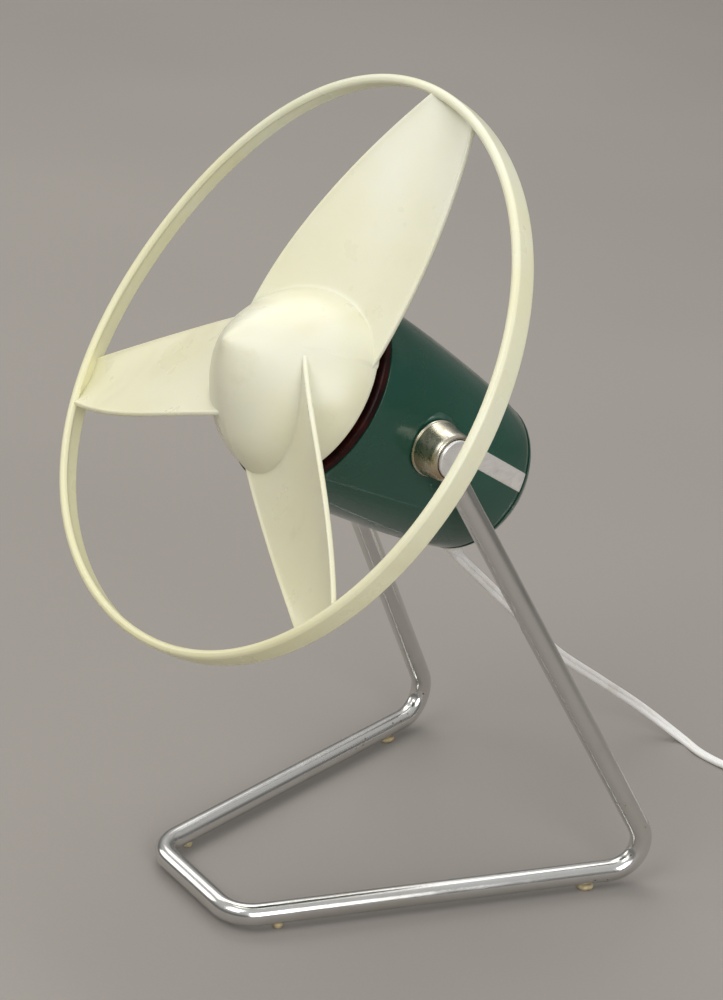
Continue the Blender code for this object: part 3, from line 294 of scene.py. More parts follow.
class Finish:
    """A node material under construction: a shader, and textures on Object coordinates."""

    def __init__(self, name, colour, roughness, metallic=0.0, **sockets):
        self.material = bpy.data.materials.new(name)
        self.material.use_nodes = True
        tree = self.material.node_tree
        self.nodes, self.links = tree.nodes, tree.links
        self.shader = self.nodes["Principled BSDF"]
        self.set("Base Color", (*colour, 1.0))
        self.set("Roughness", roughness)
        self.set("Metallic", metallic)
        for socket, value in sockets.items():
            self.set(socket.replace("_", " "), value)
        self.place = self.nodes.new("ShaderNodeTexCoord").outputs["Object"]

    def set(self, socket, value):
        self.shader.inputs[socket].default_value = value

    def into(self, output, socket):
        self.links.new(output, self.shader.inputs[socket])

    def add(self, kind, vector=None, **inputs):
        """A new node that reads the piece's own space or another vector, with its sockets set by name."""
        node = self.nodes.new("ShaderNode" + kind)
        for socket, value in inputs.items():
            node.inputs[socket].default_value = value
        self.links.new(vector or self.place, node.inputs["Vector"])
        return node

    def mapped(self, scale=(1, 1, 1), turned=(0, 0, 0)):
        return self.add("Mapping", Rotation=turned, Scale=scale).outputs["Vector"]

    def noise(self, scale, detail=4.0, rough=0.55, distortion=0.0, source=None):
        sockets = {"Scale": scale, "Detail": detail, "Roughness": rough, "Distortion": distortion}
        return self.add("TexNoise", source, **sockets).outputs["Fac"]

    def bands(self, scale, source):
        node = self.add("TexWave", source, Scale=scale, Distortion=0.2)
        node.bands_direction = "Z"
        return node.outputs["Fac"]

    def cells(self, scale):
        return self.add("TexVoronoi", Scale=scale).outputs["Distance"]

    def axis(self, name):
        return self.add("SeparateXYZ").outputs[name]

    def span(self, value, low, high, to_low=0.0, to_high=1.0):
        """Map a value's range low..high to another range, clamped and eased."""
        node = self.nodes.new("ShaderNodeMapRange")
        node.interpolation_type = "SMOOTHSTEP"
        for name, number in zip(("From Min", "From Max", "To Min", "To Max"), (low, high, to_low, to_high)):
            node.inputs[name].default_value = number
        self.links.new(value, node.inputs["Value"])
        return node.outputs["Result"]

    def maths(self, kind, a, b=0.0):
        node = self.nodes.new("ShaderNodeMath")
        node.operation = kind
        for value, socket in zip((a, b), node.inputs):
            if isinstance(value, (int, float)):
                socket.default_value = value
            else:
                self.links.new(value, socket)
        return node.outputs["Value"]

    def over(self, share, colour):
        """Lay a colour over the base colour made so far, by a share."""
        base = self.shader.inputs["Base Color"]
        node = self.nodes.new("ShaderNodeMix")
        node.data_type = "RGBA"
        self.links.new(share, node.inputs["Factor"])
        if base.is_linked:
            self.links.new(base.links[0].from_socket, node.inputs[6])
        else:
            node.inputs[6].default_value = base.default_value
        node.inputs[7].default_value = (*colour, 1.0)
        self.links.new(node.outputs[2], base)

    def rough(self, texture, low, high):
        """Roughness between two values, by a texture's middle range."""
        self.into(self.span(texture, 0.3, 0.7, low, high), "Roughness")

    def bump(self, height, strength, distance=0.0002):
        node = self.nodes.new("ShaderNodeBump")
        node.inputs["Strength"].default_value = strength
        node.inputs["Distance"].default_value = distance
        self.links.new(height, node.inputs["Height"])
        normal = self.shader.inputs["Normal"]
        if normal.is_linked:
            self.links.new(normal.links[0].from_socket, node.inputs["Normal"])
        self.links.new(node.outputs["Normal"], normal)


def shade(colour, factor):
    """A colour made darker or lighter."""
    return tuple(min(1.0, channel * factor) for channel in colour)


def ivory_moulding(colour, aged_and_shade, name="ivory_moulding"):
    """Soft moulded plastic, yellowed unevenly, with painted shade as a yellower tint towards the bottom,
    faint sinks, dust and hairline scratches.
    """
    made = Finish(name, colour, 0.34, Subsurface_Weight=0.15, Subsurface_Scale=0.004)
    made.set("Subsurface Radius", (1.0, 0.82, 0.35))
    made.set("Specular IOR Level", 0.45)
    made.set("Coat Weight", 0.06)
    made.set("Coat Roughness", 0.30)
    patches = made.span(made.noise(12.0, 3.0), 0.36, 0.66, 0.0, 0.55)
    made.over(patches, aged_and_shade)
    # Painted shade: a darker, yellower tint laid over the lower parts, growing towards the bottom, for the
    # shade on their lower sides.
    low = made.span(made.axis("Z"), 0.16, 0.29, 0.65, 0.0)
    made.over(low, shade(aged_and_shade, 0.97))
    grime = made.span(made.noise(55.0, 6.0, 0.7), 0.58, 0.80, 0.0, 0.20)
    made.over(grime, (0.50, 0.42, 0.24))
    streaks = made.noise(30.0, 3.0, source=made.mapped((1.0, 0.15, 0.6), turned=(0.4, 0.2, 0.5)))
    made.over(made.span(streaks, 0.58, 0.78, 0.0, 0.26), (0.55, 0.45, 0.22))
    made.rough(made.noise(38.0, 5.0), 0.26, 0.38)
    made.bump(made.noise(24.0, 2.0), 0.10, 0.0010)
    made.bump(made.noise(900.0, 2.0), 0.05, 0.0001)
    return made.material


def green_enamel(colour):
    """Glossy stoved enamel over sheet metal: faint orange peel, dust haze and worn dark patches."""
    made = Finish("green_enamel", colour, 0.20, Coat_Weight=0.35, Coat_Roughness=0.06)
    made.set("Specular IOR Level", 0.35)
    drift = made.span(made.noise(14.0, 4.0), 0.35, 0.70, 0.0, 0.55)
    made.over(drift, shade(colour, 1.35))
    dust = made.span(made.noise(420.0, 5.0, 0.75), 0.60, 0.82, 0.0, 0.22)
    made.over(dust, (0.16, 0.20, 0.17))
    smears = made.noise(45.0, 5.0, 0.6, 0.4)
    made.into(made.span(smears, 0.35, 0.75, 0.16, 0.34), "Roughness")
    made.bump(made.noise(260.0, 2.0), 0.05, 0.0004)
    made.bump(made.noise(35.0, 2.0), 0.05, 0.0012)
    return made.material


def chrome_plate(colour, name="chrome_plate"):
    """Old chrome on a bent tube: fine haze, brown film in drifts and rust dots at the rear bends."""
    made = Finish(name, colour, 0.12, 1.0)
    film = made.span(made.noise(26.0, 5.0, 0.6), 0.50, 0.78, 0.0, 0.30)
    made.over(film, (0.52, 0.48, 0.40))
    pits = made.cells(260.0)
    drifts = made.noise(60.0, 4.0, 0.7)
    low = made.span(made.axis("Z"), 0.020, 0.055, 1.0, 0.0)
    back = made.span(made.axis("Y"), 0.045, 0.075, 0.0, 1.0)
    dots = made.span(pits, 0.10, 0.20, 1.0, 0.0)
    spots = made.maths("MULTIPLY", dots, made.span(drifts, 0.50, 0.62))
    rear = made.maths("MULTIPLY", spots, made.maths("MULTIPLY", low, back))
    made.over(made.maths("MULTIPLY", rear, 0.9), (0.14, 0.045, 0.015))
    specks = made.maths("MULTIPLY", made.span(made.cells(420.0), 0.05, 0.10, 0.4, 0.0), film)
    made.over(specks, (0.20, 0.12, 0.07))
    haze = made.span(made.noise(60.0, 4.0, 0.5), 0.30, 0.75, 0.14, 0.24)
    made.into(made.maths("ADD", haze, made.maths("MULTIPLY", rear, 0.4)), "Roughness")
    made.bump(made.noise(35.0, 2.0), 0.03, 0.0004)
    return made.material


def aged_nickel(colour):
    """Plated knobs: turned lines, cloudy tarnish and a patchy golden-brown tone that deepens towards the
    bottom.
    """
    made = Finish("aged_nickel", colour, 0.22, 1.0)
    cloud = made.span(made.noise(70.0, 5.0, 0.6), 0.40, 0.70, 0.0, 0.75)
    made.over(cloud, (0.38, 0.33, 0.20))
    # A patchy golden-brown tone that is strongest below the pivot and fades out above it.
    below = made.span(made.axis("Z"), PIVOT[2] - 0.009, PIVOT[2] + 0.006, 0.75, 0.0)
    brown_towards_bottom = made.maths("MULTIPLY", below, made.span(made.noise(160.0, 4.0), 0.35, 0.6))
    made.over(brown_towards_bottom, (0.42, 0.27, 0.12))
    made.rough(made.noise(140.0, 5.0, 0.7), 0.16, 0.38)
    lines = made.noise(60.0, 2.0, source=made.mapped((60.0, 1.0, 1.0)))
    made.bump(lines, 0.10, 0.0001)
    return made.material


def thermoset(colour, name="black_moulding"):
    """Dark glossy thermoset with a faint red-brown mottle and patchy dust."""
    made = Finish(name, colour, 0.34, Coat_Weight=0.03, Coat_Roughness=0.20)
    made.set("Specular IOR Level", 0.15)
    mottle = made.span(made.noise(85.0, 5.0, 0.7), 0.42, 0.66)
    made.over(mottle, (0.034, 0.005, 0.004))
    dust = made.span(made.noise(300.0, 4.0), 0.62, 0.80, 0.0, 0.07)
    made.over(dust, (0.22, 0.18, 0.14))
    made.rough(made.noise(120.0, 4.0), 0.36, 0.52)
    made.bump(made.noise(350.0, 2.0), 0.05, 0.0002)
    return made.material


def satin_label(colour):
    """A thin rolled strip: fine grain along its length, dulled and finger-marked."""
    made = Finish("label_metal", colour, 0.40, 0.55)
    grain = made.noise(500.0, 3.0, source=made.mapped((1.0, 0.04, 1.0), turned=(0.57, 0, 0)))
    made.over(made.span(grain, 0.35, 0.7), shade(colour, 0.88))
    marks = made.span(made.noise(90.0, 4.0), 0.5, 0.72, 0.0, 0.22)
    made.over(marks, (0.42, 0.38, 0.31))
    made.rough(grain, 0.36, 0.52)
    made.bump(grain, 0.08, 0.0001)
    return made.material


def vinyl(colour, name="white_vinyl"):
    """Smooth flexible vinyl with slight soiling."""
    made = Finish(name, colour, 0.38, Subsurface_Weight=0.08, Subsurface_Scale=0.002)
    soil = made.span(made.noise(48.0, 5.0, 0.65), 0.50, 0.78, 0.0, 0.40)
    made.over(soil, (0.52, 0.48, 0.40))
    made.rough(made.noise(90.0, 4.0), 0.32, 0.48)
    made.bump(made.noise(420.0, 3.0), 0.06, 0.0002)
    return made.material


def amber_pad(colour):
    """Cloudy amber feet, a little see-through."""
    made = Finish("amber_pad", colour, 0.40, Subsurface_Weight=0.5, Subsurface_Scale=0.003)
    made.set("Subsurface Radius", (1.0, 0.6, 0.2))
    made.over(made.span(made.noise(300.0, 4.0), 0.4, 0.7), shade(colour, 0.6))
    made.bump(made.noise(600.0, 3.0), 0.15, 0.0002)
    return made.material


def worked_metal(name, colour, roughness, grain=180.0, marks=0.35, metallic=1.0):
    """Plain machined or cast metal: mottled tone, patchy roughness and fine grain."""
    made = Finish(name, colour, roughness, metallic)
    mottle = made.span(made.noise(grain, 5.0, 0.65), 0.35, 0.7, 0.0, marks)
    made.over(mottle, shade(colour, 0.5))
    made.rough(made.noise(grain * 1.7, 4.0), roughness * 0.75, roughness * 1.3)
    made.bump(made.noise(grain * 4.0, 3.0), 0.12, 0.0001)
    return made.material


def striped_metal(name, colour, dark, pitch, about_x, about_y, roughness):
    """Laminations or wound wire: bands of the given pitch in metres across one direction."""
    made = Finish(name, dark, roughness, 1.0)
    bands = made.bands(math.tau / (20.0 * pitch), made.mapped(turned=(about_x, about_y, 0)))
    made.over(made.span(bands, 0.2, 0.8), colour)
    made.rough(made.noise(200.0, 4.0), roughness * 0.8, roughness * 1.3)
    made.bump(bands, 0.5, pitch * 0.4)
    return made.material


def fibre_board(colour):
    """Pressed fibre: short flecks and a dry surface."""
    made = Finish("fibre_board", colour, 0.75)
    flecks = made.noise(700.0, 6.0, 0.8)
    made.over(made.span(flecks, 0.4, 0.7), shade(colour, 2.2))
    made.bump(flecks, 0.3, 0.0002)
    return made.material


def studio_floor(colour):
    """Seamless paper: a pale warm grey that drifts very slightly."""
    made = Finish("studio_floor", shade(colour, 0.97), 0.85, Specular_IOR_Level=0.15)
    drift = made.noise(1.6, 2.0)
    made.over(made.span(drift, 0.3, 0.7), shade(colour, 1.03))
    grain = made.noise(650.0, 3.0)
    made.over(made.span(grain, 0.3, 0.8, 0.0, 0.10), shade(colour, 0.80))
    return made.material


FINISHES = {}
RECIPES = {
    "studio_floor": lambda: studio_floor(colours().floor),
    "ivory_moulding": lambda: ivory_moulding(colours().ivory, colours().ivory_aged_and_shade),
    # Painted shade: a yellower copy of the propeller's ivory for the whole ring, standing in for the shade
    # on its inner wall.
    "hoop_ivory_shaded": lambda: ivory_moulding((0.86, 0.86, 0.67), (0.81, 0.77, 0.47), "hoop_ivory_shaded"),
    "green_enamel": lambda: green_enamel(colours().enamel),
    "chrome_plate": lambda: chrome_plate(colours().chrome),
    "aged_nickel": lambda: aged_nickel(colours().nickel),
    "disc_plate": lambda: worked_metal("disc_plate", (0.92, 0.91, 0.88), 0.34, 150.0, 0.25, 0.65),
    "black_moulding": lambda: thermoset(colours().moulding),
    "label_metal": lambda: satin_label(colours().label),
    "white_vinyl": lambda: vinyl(colours().cord),
    "bobbin_nylon": lambda: vinyl((0.72, 0.70, 0.62), "bobbin_nylon"),
    "amber_pad": lambda: amber_pad((0.60, 0.50, 0.30)),
    "fibre_board": lambda: fibre_board((0.16, 0.09, 0.05)),
    "plain_brass": lambda: worked_metal("plain_brass", (0.78, 0.60, 0.28), 0.28),
    "zinc_steel": lambda: worked_metal("zinc_steel", (0.62, 0.62, 0.60), 0.32),
    "sintered_bronze": lambda: worked_metal("sintered_bronze", (0.55, 0.38, 0.18), 0.48, 320.0),
    "die_cast": lambda: worked_metal("die_cast", (0.55, 0.56, 0.57), 0.45, 120.0),
    "bare_copper": lambda: worked_metal("bare_copper", (0.72, 0.30, 0.16), 0.34),
    "core_laminations": lambda: striped_metal(
        "core_laminations", (0.30, 0.30, 0.31), (0.06, 0.06, 0.06), 0.0005, math.pi / 2 + TILT, 0, 0.45
    ),
    "wound_wire": lambda: striped_metal(
        "wound_wire", (0.70, 0.27, 0.10), (0.25, 0.08, 0.03), 0.0006, 0, math.pi / 2, 0.30
    ),
}


def finish_named(name):
    """A finish from its recipe, made the first time it is asked for."""
    if name not in FINISHES:
        FINISHES[name] = RECIPES[name]()
    return FINISHES[name]


# ---------------------------------------------------------------- settings


def paint(name, description, default):
    return FloatVectorProperty(name=name, description=description, subtype="COLOR", default=default)


def length(name, description, default, least):
    return FloatProperty(name=name, description=description, unit="LENGTH", default=default, min=least)


class FanColours(bpy.types.PropertyGroup):
    """Base colours of the fan's finishes."""

    ivory: paint("Ivory", "Propeller moulding", (0.845, 0.845, 0.705))
    # Aged ivory also colours the painted shade towards the bottom of the propeller.
    ivory_aged_and_shade: paint("Aged Ivory", "Propeller where it has yellowed", (0.785, 0.755, 0.49))
    enamel: paint("Enamel", "Motor housing", (0.013, 0.070, 0.047))
    chrome: paint("Chrome", "Stand tube", (0.72, 0.72, 0.70))
    nickel: paint("Nickel", "Pivot knobs", (0.66, 0.63, 0.52))
    moulding: paint("Dark Moulding", "Front cover and switch", (0.012, 0.003, 0.003))
    label: paint("Label", "Strip on the housing", (0.95, 0.93, 0.88))
    cord: paint("Cord", "Mains cord and plug", (0.90, 0.89, 0.86))
    floor: paint("Floor", "Studio floor", (0.325, 0.304, 0.281))


class FanSizes(bpy.types.PropertyGroup):
    """Sizes that shape the visible pieces."""

    ring_radius: length("Ring Radius", "Outside of the guard ring", 0.130, 0.05)
    blade_thickness: length("Blade Thickness", "Thickness of a blade's web", 0.0016, 0.0005)
    tube_diameter: length("Tube Diameter", "Outside of the stand's tube", 0.010, 0.004)
    cord_length: length("Cord Length", "Mains cord from strain relief to plug", 1.5, 0.3)
    vent_slots: IntProperty(
        name="Vent Slots", description="Places for slots round the rear cap", default=16, min=8
    )


def colours():
    return bpy.context.scene.fan_colours


def sizes():
    return bpy.context.scene.fan_sizes


# ---------------------------------------------------------------- stage


class FAN_OT_stage(bpy.types.Operator):
    """Build the floor, the soft lights and the camera"""

    bl_idname = "deskfan.stage"
    bl_label = "Stage"

    azimuth = math.radians(54.807)
    elevation = math.radians(22.620)
    roll = math.radians(3.220)
    camera_place = (0.8147, -0.5692, 0.5920)
    lens = 89.28

    def execute(self, context):
        self.make_floor()
        self.make_camera(context.scene)
        self.make_lights(context.scene)
        return {"FINISHED"}

    def make_floor(self):
        """A flat square grid on z = 0, level with the feet."""
        reach = np.linspace(-15.0, 15.0, 9)
        x, y = np.meshgrid(reach, reach, indexing="ij")
        floor = surface("studio_floor", np.stack([x, y, 0 * x], axis=-1), closed_columns=False, caps=False)
        if floor.data.polygons[0].normal.z < 0:
            floor.data.flip_normals()
        floor.data.materials.append(finish_named("studio_floor"))

    def make_camera(self, scene):
        """Level side vector, tipped up by the elevation, then rolled about the view."""
        swing, lift = self.azimuth, self.elevation
        back = Vector((math.sin(swing) * math.cos(lift), -math.cos(swing) * math.cos(lift), math.sin(lift)))
        side = Vector((0, 0, 1)).cross(back).normalized()
        above = back.cross(side)
        c, s = math.cos(self.roll), math.sin(self.roll)
        columns = (side * c + above * s, above * c - side * s, back)
        data = bpy.data.cameras.new("camera")
        data.lens = self.lens
        data.sensor_width = 36.0
        data.clip_end = 50.0
        camera = bpy.data.objects.new("camera", data)
        scene.collection.objects.link(camera)
        matrix = Matrix(columns).transposed().to_4x4()
        matrix.translation = self.camera_place
        camera.matrix_world = matrix
        scene.camera = camera

    def make_lights(self, scene):
        scene.view_settings.view_transform = "Standard"
        world = bpy.data.worlds.new("studio")
        scene.world = world
        world.use_nodes = True
        nodes, links = world.node_tree.nodes, world.node_tree.links
        height = nodes.new("ShaderNodeSeparateXYZ")
        links.new(nodes.new("ShaderNodeTexCoord").outputs["Generated"], height.inputs[0])
        ramp = nodes.new("ShaderNodeValToRGB")
        ramp.color_ramp.interpolation = "EASE"
        stops = ramp.color_ramp.elements
        for place, tone in ((0.22, 0.24), (0.55, 0.78)):
            stops.new(place).color = (tone, tone * 0.985, tone * 0.965, 1)
        stops[0].color = (0.34, 0.33, 0.31, 1)
        links.new(height.outputs["Z"], ramp.inputs["Fac"])
        links.new(ramp.outputs["Color"], nodes["Background"].inputs["Color"])
        nodes["Background"].inputs["Strength"].default_value = 0.62
        self.light("key", (0.2, -1.6, 2.1), 1.3, 17, (1.0, 0.975, 0.94))
        self.light("fill", (2.1, -0.6, 1.1), 1.3, 24, (0.98, 0.98, 1.0))
        self.light("top", (-0.6, 0.5, 2.4), 1.6, 12, (1.0, 0.98, 0.95))
        self.light("left", (-1.6, -1.0, 0.9), 0.8, 4, (1.0, 0.97, 0.93))
        self.light("backdrop", (-1.9, 0.6, 2.2), 1.8, 16, (1.0, 0.97, 0.94), (-2.0, 0.7, 0.0))

    def light(self, name, place, size, power, colour, target=(0, 0.02, 0.18)):
        data = bpy.data.lights.new(name, "AREA")
        data.shape = "SQUARE"
        data.size = size
        data.energy = power
        data.color = colour
        lamp = bpy.data.objects.new(name, data)
        bpy.context.scene.collection.objects.link(lamp)
        lamp.location = place
        aim = Vector(target) - Vector(place)
        lamp.rotation_euler = aim.to_track_quat("-Z", "Y").to_euler()


# ---------------------------------------------------------------- stand


class FAN_OT_stand(bpy.types.Operator):
    """Build the bent tube of the stand"""

    bl_idname = "deskfan.stand"
    bl_label = "Stand Tube"

    right = [(51.2 - 0.596, -3.2, 219.4), (90.1, 110.2, 7.5), (33.7, -83.2, 7.5)]
    bend_radii = (14.2, 16.0, 16.0, 14.2)

    def execute(self, context):
        """Straight runs joined by circular arcs, resampled evenly, with a round section."""
        right = np.array(self.right)
        corners = np.concatenate([right, right[::-1] * (-1, 1, 1)])
        path = [corners[0][None]]
        for before, here, after, radius in zip(corners, corners[1:], corners[2:], self.bend_radii):
            path.append(self.arc(before, here, after, radius))
        path.append(corners[-1][None])
        line = even(np.concatenate(path), 2.5)
        tube = carried(stand_space(line), sizes().tube_diameter / 2, 48)
        piece = surface("stand_frame", tube)
        finish_piece(piece, "stand", "chromed_steel", "chrome_plate", "stand_tube")
        return {"FINISHED"}

    def arc(self, before, here, after, radius):
        """Circular arc tangent to both runs at a corner, by spherical blending of its end radii."""
        way_in = (before - here) / np.linalg.norm(before - here)
        way_out = (after - here) / np.linalg.norm(after - here)
        half = math.acos(way_in @ way_out) / 2
        middle = way_in + way_out
        centre = here + middle / np.linalg.norm(middle) * radius / math.sin(half)
        start = here + way_in * radius / math.tan(half) - centre
        end = here + way_out * radius / math.tan(half) - centre
        sweep_angle = math.pi - 2 * half
        t = np.linspace(0, 1, 25)[:, None]
        spread = start * np.sin((1 - t) * sweep_angle) + end * np.sin(t * sweep_angle)
        return centre + spread / math.sin(sweep_angle)


class FAN_OT_feet(bpy.types.Operator):
    """Build the four button feet"""

    bl_idname = "deskfan.feet"
    bl_label = "Feet"

    def execute(self, context):
        """A domed button turned about z, stood where each solid foot stands."""
        outline = [(0, 4.2), (1.4, 4.2), (1.5, 2.5), (3.4, 2.45)]
        outline += [(4.0, 1.7), (3.8, 0.5), (2.9, 0.02), (0, 0.02)]
        for end in ("rear", "front"):
            for side in ("left", "right"):
                node = f"foot_{end}_{side}"
                low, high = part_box(node)
                middle = [(low[0] + high[0]) / 2, (low[1] + high[1]) / 2, 0]
                girth = 1.0 if end == "rear" else 0.6
                grid = turn(rounded(np.array(outline) * (girth, 1), 0.5), 40) * MM + middle
                button = surface(f"button_{end}_{side}", grid)
                finish_piece(button, "stand", "foot_rubber", "amber_pad", node)
        return {"FINISHED"}


class FAN_OT_knobs(bpy.types.Operator):
    """Build the pivot knobs with their end discs and friction washers"""

    bl_idname = "deskfan.knobs"
    bl_label = "Pivot Knobs"

    def execute(self, context):
        """Stepped profiles turned about the tilt axis on both sides."""
        barrel = [(0, 44.95), (12.2, 44.95), (12.5, 45.3), (12.4, 46.1), (11.95, 46.5), (10.85, 57.4)]
        barrel += [(10.5, 58.6), (9.6, 59.5), (9.0, 59.6), (8.85, 59.2), (8.85, 58.7), (0, 58.7)]
        cap = [(0, 59.2), (8.55, 59.2), (8.6, 60.4), (8.2, 60.95), (5.0, 61.15), (0, 61.2)]
        washer = [(3.0, 44.2), (11.0, 44.2), (11.0, 44.6), (3.0, 44.6)]
        for side, word in ((1, "right"), (-1, "left")):
            grid = side_space(turn(rounded(barrel, 0.35), 128), side)
            piece = surface(f"knob_barrel_{word}", grid, sharp=50)
            finish_piece(piece, "stand", "aged_nickel", "aged_nickel", f"pivot_knob_{word}")
            grid = side_space(turn(rounded(cap, [0.2, 0.2, 0.3, 0.6, 2.0, 0]), 96), side)
            piece = surface(f"knob_end_{word}", grid)
            finish_piece(piece, "stand", "chromed_steel", "disc_plate", f"knob_disc_{word}")
            grid = side_space(turn(washer, 64), side)
            piece = surface(f"pivot_washer_{word}", grid, closed_rows=True)
            finish_piece(piece, "stand", "fibre", "fibre_board", f"friction_washer_{word}")
        return {"FINISHED"}


# ---------------------------------------------------------------- head


def housing_line(a):
    """Housing radius in mm at a place along the axis: a quartic through its measured sections."""
    sections = np.array([
        (39.2, 45.5), (30.0, 45.4), (13.8, 45.0), (0.0, 44.0), (-16.2, 42.5),
        (-29.2, 41.1), (-41.2, 39.5), (-50.2, 38.2), (-58.2, 36.7), (-62.9, 35.3),
    ])
    return np.polyval(np.polyfit(sections[:, 0], sections[:, 1], 4), a)


class FAN_OT_housing(bpy.types.Operator):
    """Build the tapered motor housing and its pivot bosses"""

    bl_idname = "deskfan.housing"
    bl_label = "Motor Housing"

    def execute(self, context):
        """Quartic radius along the axis, rolled at the front rim, closed through its inner wall."""
        a = np.linspace(38.8, -62.7, 40)
        outer = np.stack([housing_line(a), a], axis=1)
        rim = [(43.6, 38.9), (44.6, 39.2), (45.2, 39.25), (45.5, 39.1)]
        tail = [(housing_line(-62.7) - 0.3, -62.95), (33.2, -62.95)]
        inner = np.stack([housing_line(a[::-3]) - 2.0, a[::-3]], axis=1)
        profile = np.concatenate([rim, outer, tail, inner])
        piece = surface("housing_shell", fan_space(turn(profile, 160)), closed_rows=True)
        finish_piece(piece, "head", "green_housing", "green_enamel", "motor_housing")
        boss = [(2.1, 39.5), (9.0, 39.5), (9.0, 40.7), (14.6, 40.9)]
        boss += [(13.4, 42.4), (13.0, 43.5), (12.6, 43.9), (2.1, 43.9)]
        for side, word in ((1, "right"), (-1, "left")):
            grid = side_space(turn(rounded(boss, [0, 0.2, 0.2, 0.2, 1.0, 0.3, 0.2, 0]), 112), side)
            piece = surface(f"housing_boss_{word}", grid, closed_rows=True)
            finish_piece(piece, "head", "green_housing", "green_enamel")
        return {"FINISHED"}


class FAN_OT_rear_cap(bpy.types.Operator):
    """Build the vented rear cap"""

    bl_idname = "deskfan.rear_cap"
    bl_label = "Rear Cap"

    def execute(self, context):
        """A dished profile turned about the fan axis, then slotted and drilled."""
        outer = [(35.5, -63.2), (35.45, -63.7), (34.8, -64.9), (33.0, -67.1), (31.0, -69.2), (28.5, -71.5)]
        outer += [(23.0, -75.2), (18.5, -77.9), (14.0, -80.2), (11.0, -81.3), (8.0, -81.5)]
        outer = smooth(outer, 1.2)
        inner = [(0, -79.5), (10.6, -79.3), (16.8, -76.6), (21.9, -73.5)]
        inner += [(27.2, -69.9), (29.7, -67.6), (30.8, -66.4)]
        spigot = [(30.9, -57.3), (32.7, -57.2), (32.8, -63.1)]
        profile = np.concatenate([[(0, -81.5)], outer[::-1], spigot[::-1], inner[::-1]])
        cap = surface("vented_cap", fan_space(turn(profile, 144)))
        carve(cap, self.slots())
        carve(cap, self.drills())
        finish_piece(cap, "head", "green_housing", "green_enamel", "rear_cap")
        return {"FINISHED"}

    def slots(self):
        """Round-ended slots laid out radially, left out beside the screws and over the cord."""
        count = sizes().vent_slots
        angle = math.tau * (np.arange(count) + 0.5) / count
        keep = (np.abs(np.sin(angle)) > 0.5) & (np.sin(angle) > -0.9)
        t = full_turn(25)
        across = 1.3 * np.sin(t)
        along = np.where(np.cos(t) > 0, 25.2, 16.3) + 1.3 * np.cos(t)
        grids = []
        for turned in angle[keep]:
            x = along * math.cos(turned) - across * math.sin(turned)
            h = along * math.sin(turned) + across * math.cos(turned)
            grids.append(fan_space([np.stack([x, h, 0 * x + a], axis=1) for a in (-86.0, -65.0)]))
        return surface("slot_tool", grids)

    def drills(self):
        """Sunk holes for the cap screws, the cord's hole and the switch's opening."""
        hole = [(0, -57.0), (1.8, -57.0), (1.8, -69.0), (3.1, -69.0), (3.1, -84.0), (0, -84.0)]
        grids = [fan_space(turn(hole, 32) + [side * 27.0, 0, 0]) for side in (1, -1)]
        pipe = turn([(0, -7.0), (3.9, -7.0), (3.9, 12.0), (0, 12.0)], 32)
        grids.append(gland_space(pipe))
        x, h = squared(7.8, 5.8, 0.2, 32)
        grids.append(fan_space([np.stack([x, h, 0 * x + a], axis=1) for a in (-84.0, -72.0)]))
        return surface("drill_tool", grids)


class FAN_OT_front_cover(bpy.types.Operator):
    """Build the dark cover behind the propeller"""

    bl_idname = "deskfan.front_cover"
    bl_label = "Front Cover"

    def execute(self, context):
        """A flanged disc with a shallow ring groove, turned about the fan axis."""
        profile = [(4.5, 42.1), (10, 42.1), (10.5, 41.6), (12.5, 41.6), (13, 42.1), (44.4, 42.5)]
        profile += [(45.2, 42.2), (45.3, 39.9), (45.0, 39.5), (42.5, 39.5), (42.4, 31.0)]
        profile += [(40.6, 31.0), (40.6, 39.9), (4.5, 39.9)]
        grid = fan_space(turn(rounded(profile, 0.3), 160))
        piece = surface("dark_cover", grid, closed_rows=True)
        finish_piece(piece, "head", "black_moulding", "black_moulding", "front_cover")
        return {"FINISHED"}


class FAN_OT_label(bpy.types.Operator):
    """Build the plain metal strip on the housing's side"""

    bl_idname = "deskfan.label"
    bl_label = "Label Strip"

    middle_h = 8.3
    half_width = 4.25
    front_a = -12.6
    rear_a = -62.2
    thickness = 0.45

    def execute(self, context):
        """x = sqrt(R(a)^2 - h^2) + lift, with the lift falling to nothing round the strip's edge."""
        middle = np.linspace(self.front_a - 0.4, self.rear_a + 0.4, 60)
        a = np.concatenate([[self.front_a], middle, [self.rear_a]])
        share = np.array([-1, -0.96, -0.9, -0.5, 0, 0.5, 0.9, 0.96, 1])
        a, share = np.meshgrid(a, share, indexing="ij")
        h = self.middle_h + self.half_width * share
        end = np.minimum(self.front_a - a, a - self.rear_a)
        edge = np.minimum(end / 0.4, (1 - np.abs(share)) * self.half_width / 0.3)
        lift = 0.08 + self.thickness * np.clip(edge, 0, 1) ** 0.5
        x = np.sqrt(housing_line(a) ** 2 - h**2)
        top = np.stack([x + lift, h, a], axis=-1)
        under = np.stack([x - 0.1, h, a], axis=-1)
        loops = np.concatenate([top, under[:, ::-1]], axis=1)
        piece = surface("label_plate", fan_space(loops), sharp=60)
        finish_piece(piece, "head", "label_metal", "label_metal", "label_strip")
        return {"FINISHED"}


# ---------------------------------------------------------------- propeller


HUB_SECTIONS = np.array([
    (0.0, 91.5), (2.6, 90.6), (6.6, 88.2), (12.2, 84.8), (17.9, 80.8), (22.8, 76.8), (27.0, 72.8),
    (30.8, 68.8), (34.3, 64.8), (37.2, 60.8), (39.5, 56.8), (41.3, 52.8), (42.5, 49.0), (43.3, 45.0),
])
FRONT_EDGE = np.array([(-22.6, 14.7, 70.8), (-20.0, 34.6, 72.8), (-10.4, 84.4, 69.2), (4.4, 125.9, 60.4)])
REAR_EDGE = np.array([(38.4, 20.4, 46.6), (37.0, 76.5, 48.6), (30.5, 122.3, 53.8)])


